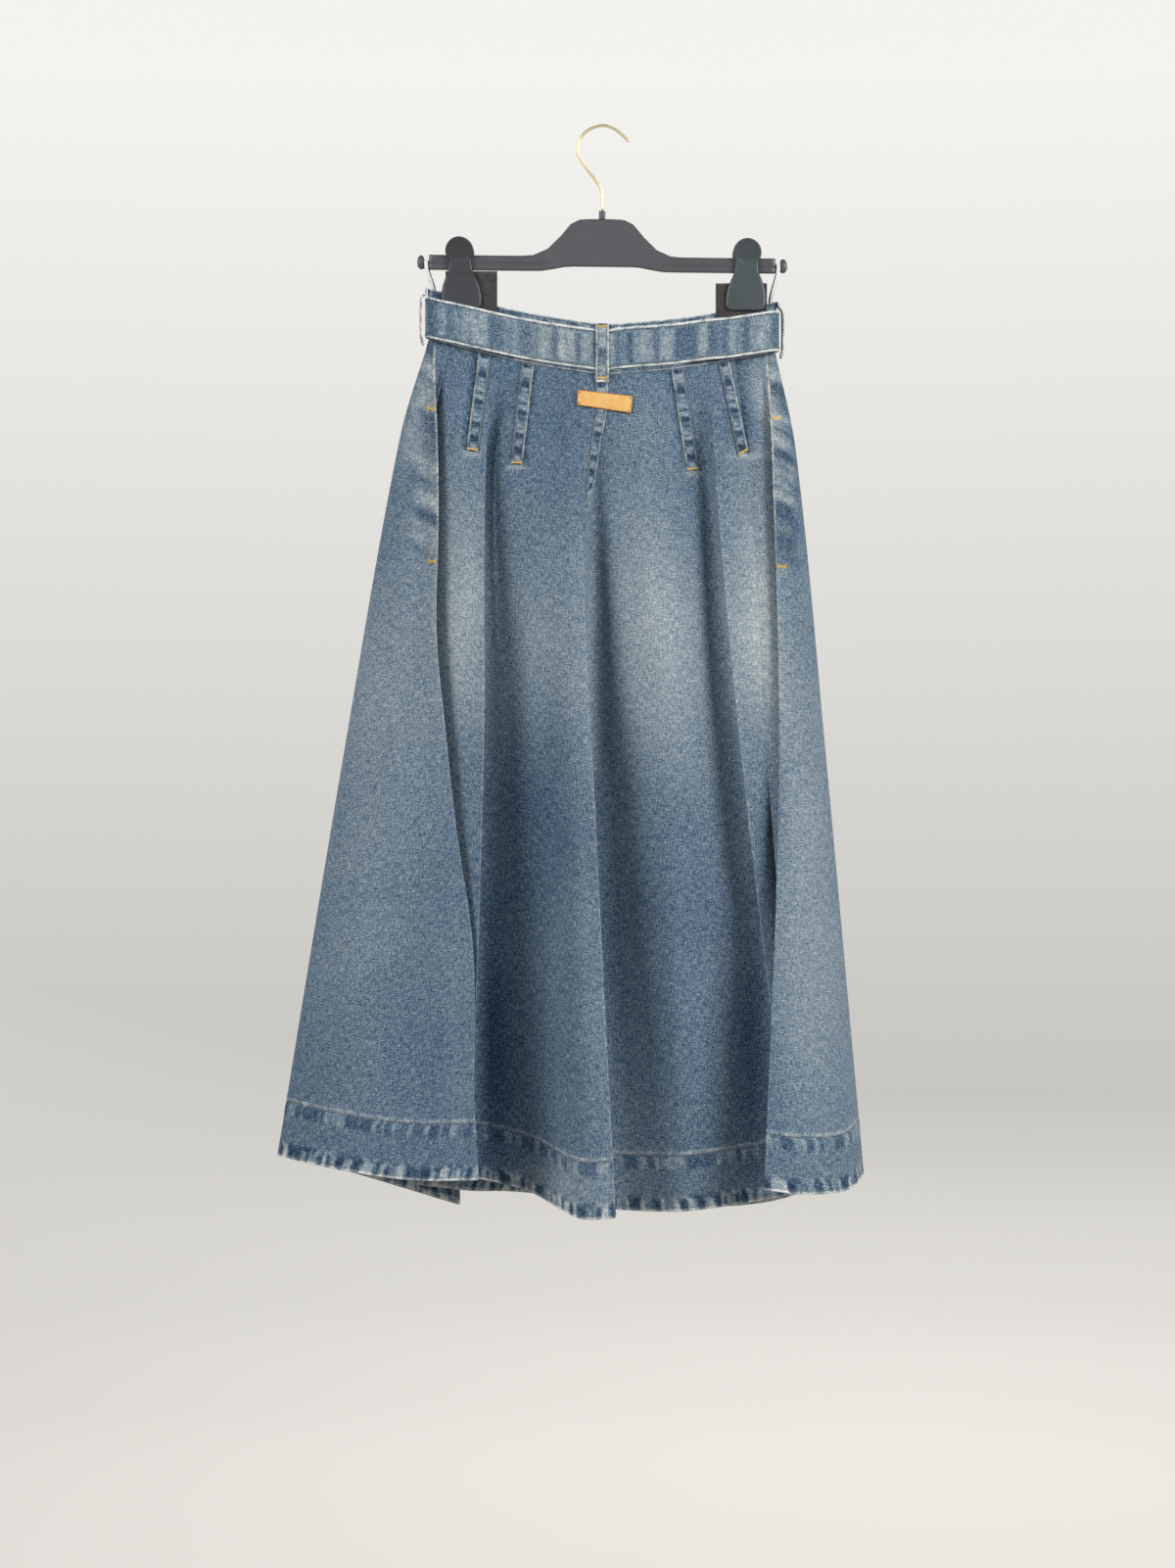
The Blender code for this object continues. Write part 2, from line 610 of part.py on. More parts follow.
def make_belt():
    girths = plan_girths(BELT_START, BELT_TIP)
    heights = (belt_top, lambda x: belt_top(x) - BELT_HEIGHT)
    rows = round_rows(BELT_PLAN, girths, heights, lambda girth: -belt_lift(girth))
    add_wall("belt", rows, BELT_WALL, DENIM, 1.0)


def make_loops():
    """Each loop starts on the waistband above the belt, passes over it and ends below it.

    over is room for the belt's second layer, tail how far the loop ends below the belt, and
    flare how fast the skirt widens there.
    """
    for name, girth, over, tail, flare in LOOPS:
        foot = Vector(BAND_PLAN.at(girth))
        outward = (Vector(BAND_PLAN.at(girth, -1.0)) - foot).normalized()
        across = Vector((outward.y, -outward.x))
        near = LOOP_CLEAR
        far = (Vector(BELT_PLAN.at(girth)) - foot).dot(outward) + BELT_WALL + over + LOOP_OVER_BELT
        upper = belt_top(foot.x)
        lower, top = upper - BELT_HEIGHT, band_top(foot.x) + 0.5
        end = near + flare * max(0.0, waist_seam(foot.x) - lower + tail) + 0.2
        profile = [(near, top), (near, upper + 4.4), (far - 0.9, upper + 1.8), (far, upper - 1.0),
                   (far + 0.3, (upper + lower) / 2), (far, lower + 1.0), (far - 0.9, lower - 1.6),
                   (end, lower - 4.6), (end, lower - tail)]
        rows = []
        for reach, z in profile:
            row = []
            for side in (-0.5, 0.0, 0.5):
                place = foot + outward * reach + across * side * LOOP_WIDTH
                row.append((place.x, -place.y, z))
            rows.append(row)
        add_wall(name, rows, LOOP_WALL, DENIM, 1.0)


def make_buckle():
    """A plain rectangular frame: its bar lies under the belt's tip, its other side over it."""
    bar_x, rail_x = BELT_PLAN.at(BAR_GIRTH)[0], BELT_PLAN.at(RAIL_GIRTH)[0]
    middle = belt_top(0) - BELT_HEIGHT / 2
    half = BELT_HEIGHT / 2 + BAR_WIRE / 2 + FRAME_ROOM
    corners = [(bar_x, BAR_OUT, middle + half), (rail_x, RAIL_OUT, middle + half),
               (rail_x, RAIL_OUT, middle - half), (bar_x, BAR_OUT, middle - half)]
    places = []
    for i, corner in enumerate(corners):
        start = blend(corner, corners[i - 1], FRAME_CORNER)
        stop = blend(corner, corners[(i + 1) % 4], FRAME_CORNER)
        places += [blend(blend(start, corner, t), blend(corner, stop, t), t) for t in steps(0, 1, 4)]
    curve = bpy.data.curves.new("buckle_frame", "CURVE")
    curve.dimensions = "3D"
    spline = curve.splines.new("POLY")
    spline.points.add(len(places) - 1)
    for point, place in zip(spline.points, places):
        point.co = (*(Vector(place) * MM), 1)
    spline.use_cyclic_u = True
    curve.bevel_depth = BAR_WIRE / 2 * MM
    curve.bevel_resolution = 2
    add_object("buckle_frame", curve, BRASS)
    prong_rows = []
    for side, beyond, y in PRONG_ROUTE:
        x = (bar_x, rail_x)[side] + beyond
        prong_rows.append([(x, y, middle + PRONG_HALF), (x, y, middle - PRONG_HALF)])
    add_wall("buckle_prong", prong_rows, PRONG_WALL, BRASS, 1.0)


def add_disc(name, radius, depth, place, material, segments, turn=0.0):
    shape = bmesh.new()
    bmesh.ops.create_cone(shape, cap_ends=True, segments=segments, radius1=radius * MM,
                          radius2=radius * MM, depth=depth * MM)
    mesh = bpy.data.meshes.new(name)
    shape.to_mesh(mesh)
    shape.free()
    thing = add_object(name, mesh, material)
    mesh.set_sharp_from_angle(angle=radians(40))
    thing.location = Vector(place) * MM
    thing.rotation_euler = (turn, 0, 0)
    return thing


# ---- Hanger ----

def make_hanger():
    outline = [(-x, z) for x, z in BAR_BOTTOM[::-1]][1:] + [(-x, z) for x, z in BAR_TOP[::-1]]
    outline += BAR_TOP[1:] + BAR_BOTTOM
    curve = bpy.data.curves.new("hanger_bar", "CURVE")
    curve.dimensions = "2D"
    curve.fill_mode = "BOTH"
    curve.extrude = BAR_DEPTH / 2 * MM
    spline = curve.splines.new("POLY")
    spline.points.add(len(outline) - 1)
    for point, (x, z) in zip(spline.points, outline):
        point.co = (x * MM, z * MM, 0, 1)
    spline.use_cyclic_u = True
    bar = add_object("hanger_bar", curve, GREY_PLASTIC)
    bar.rotation_euler = (pi / 2, radians(BAR_TILT), 0)
    bar.location = (0, 0, BAR_MID_Z * MM)

    ferrule_z = BAR_MID_Z + BAR_TOP[0][1] + SEAM_GAP + FERRULE_HEIGHT / 2
    add_disc("hanger_ferrule", FERRULE_RADIUS, FERRULE_HEIGHT, (0, 0, ferrule_z), GREY_PLASTIC, 16)

    hook = bpy.data.curves.new("hanger_hook", "CURVE")
    hook.dimensions = "3D"
    wire = hook.splines.new("POLY")
    foot_z = ferrule_z + FERRULE_HEIGHT / 2 + SEAM_GAP
    route = [(0.0, foot_z)] + HOOK_POINTS[1:]
    distances = list(range(len(route)))
    places = []
    for at in steps(0, len(route) - 1, (len(route) - 1) * 2):
        places.append((eased([p[0] for p in route], distances, at), 0.0,
                       eased([p[1] for p in route], distances, at)))
    wire.points.add(len(places) - 1)
    for point, place in zip(wire.points, places):
        point.co = (*(Vector(place) * MM), 1)
    hook.bevel_depth = WIRE / 2 * MM
    hook.bevel_resolution = 2
    hook.use_fill_caps = True
    add_object("hanger_hook", hook, BRASS)


def make_clips():
    """Two levers on each side of the bar, each with a round thumb tab and a wide foot."""
    for name, top_x, foot_x, shift in CLIPS:
        for side, place in ((1, "near"), (-1, "far")):
            rows = []
            for z, half_width, out in LEVER_ROWS:
                down = (LEVER_ROWS[0][0] - z) / (LEVER_ROWS[0][0] - LEVER_ROWS[-1][0])
                centre = top_x + (foot_x - top_x) * down
                row = [(centre + half_width * t * side, -out * side, z + shift) for t in (-1, -0.5, 0, 0.5, 1)]
                rows.append(row)
            add_wall(name + "_" + place, rows, CLIP_WALL, GREY_PLASTIC, 1.0)


def make_pads():
    """Felt folded over the waistband's top edge."""
    for name, from_x, to_x, foot_z, straight_z, top_z, fold_inner in PADS:
        profile = [(PAD_INNER, foot_z), (PAD_INNER, straight_z)]
        profile += [(fold_inner * cos(turn), top_z - PAD_BEND + (PAD_BEND - PAD_WALL) * sin(turn))
                    for turn in steps(0, pi, 6)]
        profile += [(-PAD_INNER, straight_z), (-PAD_INNER, foot_z)]
        rows = [[(x, -out, z) for x in steps(from_x, to_x, 2)] for out, z in reversed(profile)]
        add_wall(name, rows, PAD_WALL, FELT, 1.0)


def make_ribbons():
    """A loop of tape from inside each end of the waistband, over the notch in the bar's end."""
    for name, side in (("ribbon_left", -1), ("ribbon_right", 1)):
        notch_z = BAR_MID_Z - side * NOTCH_X * sin(radians(BAR_TILT)) + NOTCH_HEIGHT + RIBBON_GAP
        low_z = band_top(side * END_FROM) - RIBBON_IN
        half = BAR_DEPTH / 2 + RIBBON_GAP
        profile = [(RIBBON_GAP, low_z), (RIBBON_GAP, low_z + RIBBON_STRAIGHT), (half, notch_z - 18), (half, notch_z)]
        profile += [(-out, z) for out, z in reversed(profile)]
        rows = []
        for out, z in reversed(profile):
            down = (notch_z - z) / (notch_z - low_z)
            centre = side * (NOTCH_X - RIBBON_LEAN * smooth_step(0.1, 0.75, down))
            rows.append([(centre + RIBBON_WIDTH * t, -out, z) for t in (-0.5, 0.5)])
        add_wall(name, rows, RIBBON_WALL, RIBBON, 1.0)


make_panels()
make_strips()
make_waistband()
make_belt()
make_loops()
make_buckle()
add_disc("waist_button", BUTTON_RADIUS, BUTTON_WALL, BUTTON_PLACE, BRASS, 16, turn=pi / 2)
make_hanger()
make_clips()
make_pads()
make_ribbons()
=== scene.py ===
"""Denim skirt with its own belt on a clip hanger: the looks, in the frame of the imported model."""
from math import cos, exp, hypot, pi, radians, sin, sqrt

import bmesh
import bpy
import numpy as np
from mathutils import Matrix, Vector
from mathutils.bvhtree import BVHTree


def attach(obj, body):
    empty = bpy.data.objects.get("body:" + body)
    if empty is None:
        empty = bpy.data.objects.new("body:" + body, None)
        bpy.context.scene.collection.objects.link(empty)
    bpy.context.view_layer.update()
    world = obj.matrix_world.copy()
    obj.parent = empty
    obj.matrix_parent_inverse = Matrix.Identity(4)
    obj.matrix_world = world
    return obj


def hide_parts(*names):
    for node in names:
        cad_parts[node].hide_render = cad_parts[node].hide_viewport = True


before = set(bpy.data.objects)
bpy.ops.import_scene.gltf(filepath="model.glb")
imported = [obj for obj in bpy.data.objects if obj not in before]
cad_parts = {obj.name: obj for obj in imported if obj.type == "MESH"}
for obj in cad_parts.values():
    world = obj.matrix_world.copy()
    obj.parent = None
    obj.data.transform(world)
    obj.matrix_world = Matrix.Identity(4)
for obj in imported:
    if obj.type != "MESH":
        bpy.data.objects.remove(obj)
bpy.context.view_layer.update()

# ---- Camera ----
# A long lens, level with the thighs of the skirt and 4.2 m behind the wearer's back.
# It looks straight ahead, so upright lines stay upright.


def put(name, data):
    """Show this data in the scene, as an object."""
    thing = bpy.data.objects.new(name, data)
    bpy.context.scene.collection.objects.link(thing)
    return thing


camera = put("camera", bpy.data.cameras.new("camera"))
bpy.context.scene.camera = camera
camera.data.sensor_fit = "VERTICAL"
camera.data.sensor_height = 36.0
camera.data.lens = 97.4
camera.data.shift_y = -0.0153
camera.location = (-0.01455, -4.2, -0.6266)
camera.rotation_euler = (pi / 2, 0, 0)
bpy.context.scene.view_settings.view_transform = "Standard"

# ---- Studio ----
# A pale floor that curves up into a round wall, so it looks the same from every side.
# Light comes from the wall's own brightness all round, from three large soft boxes and from a
# small light under the hem.
FLOOR_Z = -1.75
SWEEP = [                   # reach and rise above the floor, from the flat floor to the top of the wall
    (1.5, 0.0), (3.2, 0.0), (3.9, 0.09), (4.5, 0.32), (5.0, 0.65), (5.4, 1.05), (5.75, 1.6),
    (5.95, 2.3), (6.0, 3.2), (6.0, 6.0),
]
SWEEP_SIDES = 96
sweep = bmesh.new()
rings = []
for reach, rise in SWEEP:
    rings.append([sweep.verts.new((reach * cos(turn), reach * sin(turn), FLOOR_Z + rise))
                  for turn in np.linspace(0, 2 * pi, SWEEP_SIDES, endpoint=False)])
middle = sweep.verts.new((0, 0, FLOOR_Z))
for i in range(SWEEP_SIDES):
    beside = (i + 1) % SWEEP_SIDES
    sweep.faces.new((middle, rings[0][i], rings[0][beside]))
    for low, high in zip(rings, rings[1:]):
        sweep.faces.new((low[i], high[i], high[beside], low[beside]))
studio = put("studio_sweep", bpy.data.meshes.new("studio_sweep"))
sweep.to_mesh(studio.data)
sweep.free()
studio.data.shade_smooth()
studio.visible_diffuse = False
studio.visible_shadow = False


def new_material(name):
    """A material, with its node tree and its shader."""
    material = bpy.data.materials.new(name)
    material.use_nodes = True
    return material, material.node_tree, material.node_tree.nodes["Principled BSDF"]


def feed(tree, node, inputs):
    """Link a node's inputs to sockets, or set them to values."""
    for key, value in inputs.items():
        if isinstance(value, bpy.types.NodeSocket):
            tree.links.new(value, node.inputs[key])
        else:
            node.inputs[key].default_value = value


def new_node(tree, kind, inputs=None, **settings):
    node = tree.nodes.new(kind)
    for key, value in settings.items():
        setattr(node, key, value)
    feed(tree, node, inputs or {})
    return node


def ramp(tree, value, colours):
    """Colours by value, from a list of places and colours."""
    node = new_node(tree, "ShaderNodeValToRGB", {"Fac": value})
    while len(node.color_ramp.elements) < len(colours):
        node.color_ramp.elements.new(0.5)
    for element, (at, colour) in zip(node.color_ramp.elements, colours):
        element.position = at
        element.color = (*colour, 1)
    return node.outputs["Color"]


def object_place(tree):
    return new_node(tree, "ShaderNodeTexCoord").outputs["Object"]


paint, tree, shader = new_material("studio_paint")
split = new_node(tree, "ShaderNodeSeparateXYZ", {0: object_place(tree)})
height = new_node(tree, "ShaderNodeMapRange", {"Value": split.outputs["Z"], "From Min": -1.8,
                                               "From Max": 1.0})
tones = ramp(tree, height.outputs["Result"], [(0.0, (0.50, 0.485, 0.455)), (1.0, (0.90, 0.89, 0.86))])
feed(tree, shader, {"Base Color": tones, "Emission Color": tones, "Emission Strength": 0.60,
                    "Roughness": 0.95, "Specular IOR Level": 0.1})
studio.data.materials.append(paint)

world = bpy.data.worlds.new("studio_air")
bpy.context.scene.world = world
world.use_nodes = True
feed(world.node_tree, world.node_tree.nodes["Background"], {"Color": (0.97, 0.985, 1.0, 1), "Strength": 0.14})
SOFT_BOXES = [              # name, place, size in metres, watts, spread in degrees and aimed height
    ("soft_box_right", (3.3, -2.5, 0.7), 2.2, 168.0, 180, -0.6),
    ("soft_box_left", (-3.3, -2.5, 0.7), 2.2, 127.0, 180, -0.6),
    ("soft_box_front", (0.6, 3.6, 1.0), 2.2, 90.0, 180, -0.6),
    ("hem_light", (0.0, -1.9, -1.70), 0.5, 0.22, 36, -1.16),
]
for name, where, size, watts, spread, aimed_z in SOFT_BOXES:
    box = put(name, bpy.data.lights.new(name, "AREA"))
    box.data.shape = "DISK"
    box.data.size = size
    box.data.energy = watts
    box.data.spread = radians(spread)
    box.location = where
    box.rotation_euler = (Vector((0, 0, aimed_z)) - Vector(where)).to_track_quat("-Z", "Y").to_euler()

# ---- Skirt panels ----
# Four flared panels of mid-weight washed denim, sewn into a tube that hangs in folds.
# Tables are in millimetres; "out" is a distance from the mid-plane, positive towards the back.
MM = 0.001
SEAM_GAP = 0.3
GIRTH = 712.0
BAND_END_X = 172.6
BAND_HEIGHT = 49.5
BAND_TOP_CENTRE = -197.5
BAND_TOP_RISE = 30.9
BAND_TILT = -6.6
CENTRE_OUT = 25.0
PINCH_OUT = 3.4
PINCH_FROM = 101.0
PINCH_TO = 164.4
END_OUT = 5.4
END_FROM = 168.0
BAND_WALL = 2.4
PANEL_WALL = 1.2
HEM_DEPTH = 53.0
HEM_LEVEL = 0.9345
CLOTH_DROP = 800.0          # millimetres down the cloth for a step of 1 in s, near the hem
HEM_RELIEF = [              # how the hem's stitching swells and draws in the cloth: above it, breadth, rise
    (-6.0, 20.0, 0.35), (0.0, 2.5, -0.5), (3.4, 6.0, 0.35),
]
HIP = 0.12
THIGH = 0.5
ROLL = 3.0                  # radius of a fold's edge, where the fold has room for it
ROLLS_ACROSS = 2.6          # how many of its radius a fold is wide, at least
ROLLS_DEEP = 2.2            # and how many it is deep
LINES = [
    # name               girth x_hip thigh  hem out_hip thigh hem   hem_z  kind
    ("side_left",          -178,  -204, -264, -334,     0,    0,    0,  -1015, "soft"),
    ("left_swell",       -172.5,  -187, -222, -270,    14,   33,   48,  -1026, "soft"),
    ("left_flank",         -168,  -172, -181, -188,    21,   45,   72,  -1037, "soft"),
    ("left_pocket",        -164,  -162, -151, -120,    27,   56,   97,  -1033, "edge"),
    ("left_seam",          -155,  -176, -176, -147,     7,   28,   76,  -1032, "root"),
    ("left_inset",         -145,  -151, -147, -137,    24,   44,   79,  -1031, "soft"),
    ("left_pleat",         -105,  -114, -116, -128,    31,   58,   86,  -1030, "edge"),
    ("left_pleat_in",       -95,  -119, -132, -160,    18,   32,   46,  -1039, "root"),
    ("left_hollow",         -84,  -116, -124, -128,    12,    0,    2,  -1039, "soft"),
    ("left_ramp",           -75,   -98,  -78,  -72,    24,   24,   26,  -1050, "soft"),
    ("left_rise",           -66,   -66,  -52,  -50,    27,   33,   38,  -1062, "soft"),
    ("centre_swell",        -38,   -41,  -32,  -22,    33,   56,   84,  -1074, "soft"),
    ("centre",              -14,   -22,   -8,   13,    34,   62,   96,  -1070, "edge"),
    ("centre_seam",          -5,   -10,  -22,  -20,    31,   34,   48,  -1063, "root"),
    ("centre_hollow",        12,    -8,  -14,    4,    20,    0,   12,  -1070, "soft"),
    ("centre_ramp",          30,    22,   36,   62,    30,   28,   32,  -1071, "soft"),
    ("right_rise",           48,    51,   76,   92,    32,   44,   37,  -1069, "soft"),
    ("right_dip",            88,   103,  132,  168,    11,   10,   14,  -1060, "soft"),
    ("right_pleat_in",      101,   105,  150,  214,    22,   22,   14,  -1050, "root"),
    ("right_pleat",         111,   110,  138,  187,    31,   45,   38,  -1048, "edge"),
    ("right_seam",          155,   176,  187,  206,    11,   36,   54,  -1045, "root"),
    ("right_pocket",        164,   167,  173,  157,    24,   50,   82,  -1044, "edge"),
    ("right_flank",         168,   176,  192,  194,    23,   48,   86,  -1049, "soft"),
    ("right_swell",       172.5,   186,  213,  243,    15,   30,   56,  -1049, "soft"),
    ("side_right",          178,   194,  225,  262,     0,    0,    0,  -1032, "soft"),
    ("front_r_swell",       184,   181,  213,  255,   -14,  -32,  -50,  -1046, "soft"),
    ("front_r_flank",       194,   172,  196,  240,   -23,  -54,  -88,  -1056, "soft"),
    ("front_r_fold",        214,   150,  165,  212,   -27,  -60,  -98,  -1065, "edge"),
    ("front_r_fold_in",     224,   140,  175,  224,   -26,  -34,  -54,  -1049, "root"),
    ("front_r_hollow",      238,   125,  146,  181,   -25,  -22,  -30,  -1065, "soft"),
    ("front_r_rise",        262,   105,  118,  135,   -28,  -44,  -62,  -1075, "soft"),
    ("front_r_wave",        290,    73,   86,   97,   -33,  -60,  -96,  -1077, "soft"),
    ("front_r_dip",         325,    37,   42,   48,   -33,  -40,  -50,  -1068, "soft"),
    ("front_seam",          356,     0,    1,   -3,   -36,  -66, -102,  -1072, "soft"),
    ("front_l_dip",         387,   -37,  -42,  -52,   -33,  -40,  -50,  -1062, "soft"),
    ("front_l_wave",        422,   -72,  -86,  -99,   -32,  -58,  -92,  -1062, "soft"),
    ("front_l_rise",        450,  -104, -115, -131,   -27,  -40,  -52,  -1059, "soft"),
    ("front_l_fold_in",     479,  -118, -149, -184,   -25,  -32,  -50,  -1052, "root"),
    ("front_l_fold",        489,  -128, -138, -144,   -27,  -58, -104,  -1078, "edge"),
    ("front_l_flank",       517,  -168, -190, -230,   -21,  -50,  -88,  -1050, "soft"),
    ("front_l_swell",       528,  -188, -226, -290,   -13,  -28,  -42,  -1027, "soft"),
]
SWAYS = [                   # where a line swings aside: its name, z, half height, x
    ("left_pocket", -225, 45, -4),
    ("left_pocket", -500, 80, -6),
    ("left_pocket", -810, 110, 12),
]
PANELS = [                  # name, seam line it starts after, seam line it ends after, cut width, cut area
    ("back_left", "left_seam", "centre_seam", 0.35, 0.224),
    ("back_right", "centre_seam", "right_pleat", 0.29, 0.193),
    ("front_right", "right_pleat", "front_seam", 0.66, 0.381),
    ("front_left", "front_seam", "left_seam", 0.71, 0.392),
]
SEAM_LINES = ("left_seam", "centre_seam", "right_pleat", "front_seam")
EDGE_WEAR = {               # how white a fold's edge is rubbed: at the waist, at the thigh, at the hem
    "left_pocket": (0.6, 0.10, 0.12), "left_pleat": (0.0, 0.16, 0.20), "centre": (0.0, 0.18, 0.20),
    "right_pleat": (0.0, 0.18, 0.16), "right_pocket": (0.6, 0.12, 0.16),
    "front_r_fold": (0.0, 0.10, 0.14), "front_l_fold": (0.0, 0.10, 0.14),
}
CREASES = [                 # soft troughs (-) and ridges (+) pressed and hung into the cloth
    # side  x_top  z_top  x_low  z_low  half_width  depth
    (1,     -84,   -345,  -88,   -640,  12,  -2.6),
    (1,     -64,   -350,  -62,   -700,  15,   1.8),
    (1,     -128,  -330,  -132,  -560,  10,   1.6),
    (1,     -146,  -300,  -148,  -470,   7,  -1.6),
    (1,     -44,   -250,  -50,   -420,   9,  -1.2),
    (1,     -20,   -300,  -26,   -520,  12,   1.4),
    (1,     22,    -300,   30,   -560,  14,  -1.8),
    (1,     62,    -260,   70,   -420,   9,   1.2),
    (1,     104,   -330,  112,   -600,   9,  -2.8),
    (1,     90,    -350,   94,   -640,  14,   2.2),
    (1,     128,   -250,  140,   -420,   7,  -1.4),
    (1,     150,   -330,  158,   -600,   9,   1.6),
    (1,     -60,   -236,  -28,   -246,   4,  -0.7),
    (1,     40,    -246,   88,   -240,   4,  -0.7),
    (1,     -150,  -560, -165,   -900,  18,   2.0),
    (1,     -215,  -520, -240,   -860,  16,  -2.2),
    (1,     -225,  -700, -262,   -980,  14,   1.6),
    (1,     60,    -640,   84,   -980,  18,   2.4),
    (1,     -70,   -700,  -66,   -1000, 16,  -2.0),
    (1,     208,   -560,  232,   -900,  12,  -1.8),
    (1,     184,   -640,  192,   -960,  12,   1.8),
    (1,     -5,    -365,  -2,   -650,  9,   -6.0),
    (1,     -100,  -300,  -106,  -560,  14,  -3.0),
    (-1,    -90,   -300,  -96,   -600,  14,  -2.4),
    (-1,    -50,   -320,  -56,   -640,  12,   1.8),
    (-1,    60,    -310,   66,   -620,  13,  -2.2),
    (-1,    100,   -280,  112,   -560,  12,   1.8),
    (-1,    150,   -420,  180,   -800,  15,   2.0),
    (-1,    -160,  -400, -205,   -820,  15,   2.2),
    (-1,    0,     -420,   2,    -760,  16,   1.4),
]


def blend(a, b, part):
    return tuple(p + (q - p) * part for p, q in zip(a, b))


def steps(start, stop, count):
    return [start + (stop - start) * i / count for i in range(count + 1)]


def smooth_step(low, high, value):
    part = np.clip((value - low) / (high - low), 0.0, 1.0)
    return part * part * (3 - 2 * part)


def eased(values, places, at):
    """Read a smooth curve through values at their places."""
    slopes = []
    for i in range(len(values)):
        low, high = max(i - 1, 0), min(i + 1, len(values) - 1)
        slopes.append((values[high] - values[low]) / (places[high] - places[low]))
    index = max(i for i in range(len(places) - 1) if places[i] <= at)
    span = places[index + 1] - places[index]
    t = (at - places[index]) / span
    start, stop = values[index], values[index + 1]
    return ((2 * t ** 3 - 3 * t ** 2 + 1) * start + (t ** 3 - 2 * t ** 2 + t) * span * slopes[index]
            + (-2 * t ** 3 + 3 * t ** 2) * stop + (t ** 3 - t ** 2) * span * slopes[index + 1])


def band_out(x):
    """How far the waistband's outer face stands from the mid-plane."""
    across = abs(x)
    if across < PINCH_FROM:
        return PINCH_OUT + (CENTRE_OUT - PINCH_OUT) * (0.5 + 0.5 * cos(pi * across / PINCH_FROM))
    if across < END_FROM:
        return PINCH_OUT + (END_OUT - PINCH_OUT) * smooth_step(PINCH_TO, END_FROM, across)
    return END_OUT * sqrt(max(0.0, 1 - ((across - END_FROM) / (BAND_END_X - END_FROM)) ** 2))


def closed_plan(out_at, end_x, end_from):
    """Points (x, out) round the waist from centre back, over +X, the front and -X, and home."""
    quarter = [(x, out_at(x)) for x in range(0, int(end_from), 3)]
    end_depth = out_at(end_from)
    for step in range(9):
        turn = pi / 2 * step / 8
        quarter.append((end_from + (end_x - end_from) * sin(turn), end_depth * cos(turn)))
    half = quarter + [(x, -out) for x, out in reversed(quarter[:-1])]
    return half + [(-x, out) for x, out in reversed(half[1:-1])] + [half[0]]


class Plan:
    """A closed plan curve, read by girth, 0 to GIRTH units from centre back."""

    def __init__(self, points):
        self.points = points
        self.reach = [0.0]
        for a, b in zip(points, points[1:]):
            self.reach.append(self.reach[-1] + hypot(b[0] - a[0], b[1] - a[1]))
        self.length = self.reach[-1]

    def at(self, girth, inset=0.0):
        """Point (x, out) at a girth, moved inwards by inset."""
        distance = (girth % GIRTH) / GIRTH * self.length
        passed = int(np.searchsorted(self.reach, distance, side="right")) - 1
        index = min(max(0, passed), len(self.points) - 2)
        a, b = self.points[index], self.points[index + 1]
        span = self.reach[index + 1] - self.reach[index]
        part = (distance - self.reach[index]) / span
        along = ((b[0] - a[0]) / span, (b[1] - a[1]) / span)
        return (a[0] + (b[0] - a[0]) * part + along[1] * inset,
                a[1] + (b[1] - a[1]) * part - along[0] * inset)


BAND_PLAN = Plan(closed_plan(band_out, BAND_END_X, END_FROM))


def band_top(x):
    across = x / BAND_END_X
    return BAND_TOP_CENTRE + BAND_TOP_RISE * min(abs(across), 1.0) ** 1.3 + BAND_TILT * across


def waist_seam(x):
    return band_top(x) - BAND_HEIGHT - SEAM_GAP


def line_point(line, s):
    """Point (x, out, z) of a line at s, 0 at the waist seam and 1 at the hem."""
    name, girth, x_hip, x_thigh, x_hem, out_hip, out_thigh, out_hem, hem_z, kind = line
    x_top, out_top = BAND_PLAN.at(girth, inset=(BAND_WALL - PANEL_WALL) / 2)
    places = (0, HIP, THIGH, 1)
    x = eased((x_top, x_hip, x_thigh, x_hem), places, s)
    out = eased((out_top, out_hip, out_thigh, out_hem), places, s)
    top_z = waist_seam(x_top)
    z = top_z + (hem_z - top_z) * s
    for swaying, at_z, half_height, aside in SWAYS:
        if swaying == name:
            x += aside * exp(-((z - at_z) / half_height) ** 2)
    return x, out, z


def turned_fold(first, second, first_is_edge, ahead):
    """The four corners of a fold between its edge and its root, in the order they are met."""
    edge, root = (first, second) if first_is_edge else (second, first)
    top_way = ahead if first_is_edge else -ahead
    gap = hypot(root[0] - edge[0], root[1] - edge[1])
    across = min(1.0, max(0.0, (root[0] - edge[0]) * top_way / gap))
    inward = -1 if edge[1] > root[1] else 1
    roll = max(abs(edge[1] - root[1]) / ROLLS_DEEP, gap * across / ROLLS_ACROSS)
    roll = min(ROLL, gap / ROLLS_ACROSS, roll)
    step = (across * top_way * roll, sqrt(1 - across ** 2) * inward * roll)
    under = (edge[0] + step[0], edge[1] + step[1], blend(edge, root, 0.2)[2])
    turn = (root[0] - step[0], root[1] - step[1], blend(edge, root, 0.8)[2])
    corners = [edge, under, turn, root]
    return corners if first_is_edge else corners[::-1]


def level_corners(s):
    """The section's corners at s, in order: (line name, kind, point)."""
    corners = []
    points = [line_point(line, s) for line in LINES]
    i = 0
    while i < len(LINES):
        name, kind = LINES[i][0], LINES[i][-1]
        if kind == "soft":
            corners.append((name, kind, points[i]))
            i += 1
            continue
        ahead = 1 if points[i][0] > points[i - 1][0] else -1
        four = turned_fold(points[i], points[i + 1], kind == "edge", ahead)
        names = (name, "", "", LINES[i + 1][0])
        corners += [(label, "crisp", corner) for label, corner in zip(names, four)]
        i += 2
    return corners


SOFT_LEG = 0.46
CRISP_LEG = 0.44
LEG_RATIO = 1.3
POINTS_A_CORNER = 7


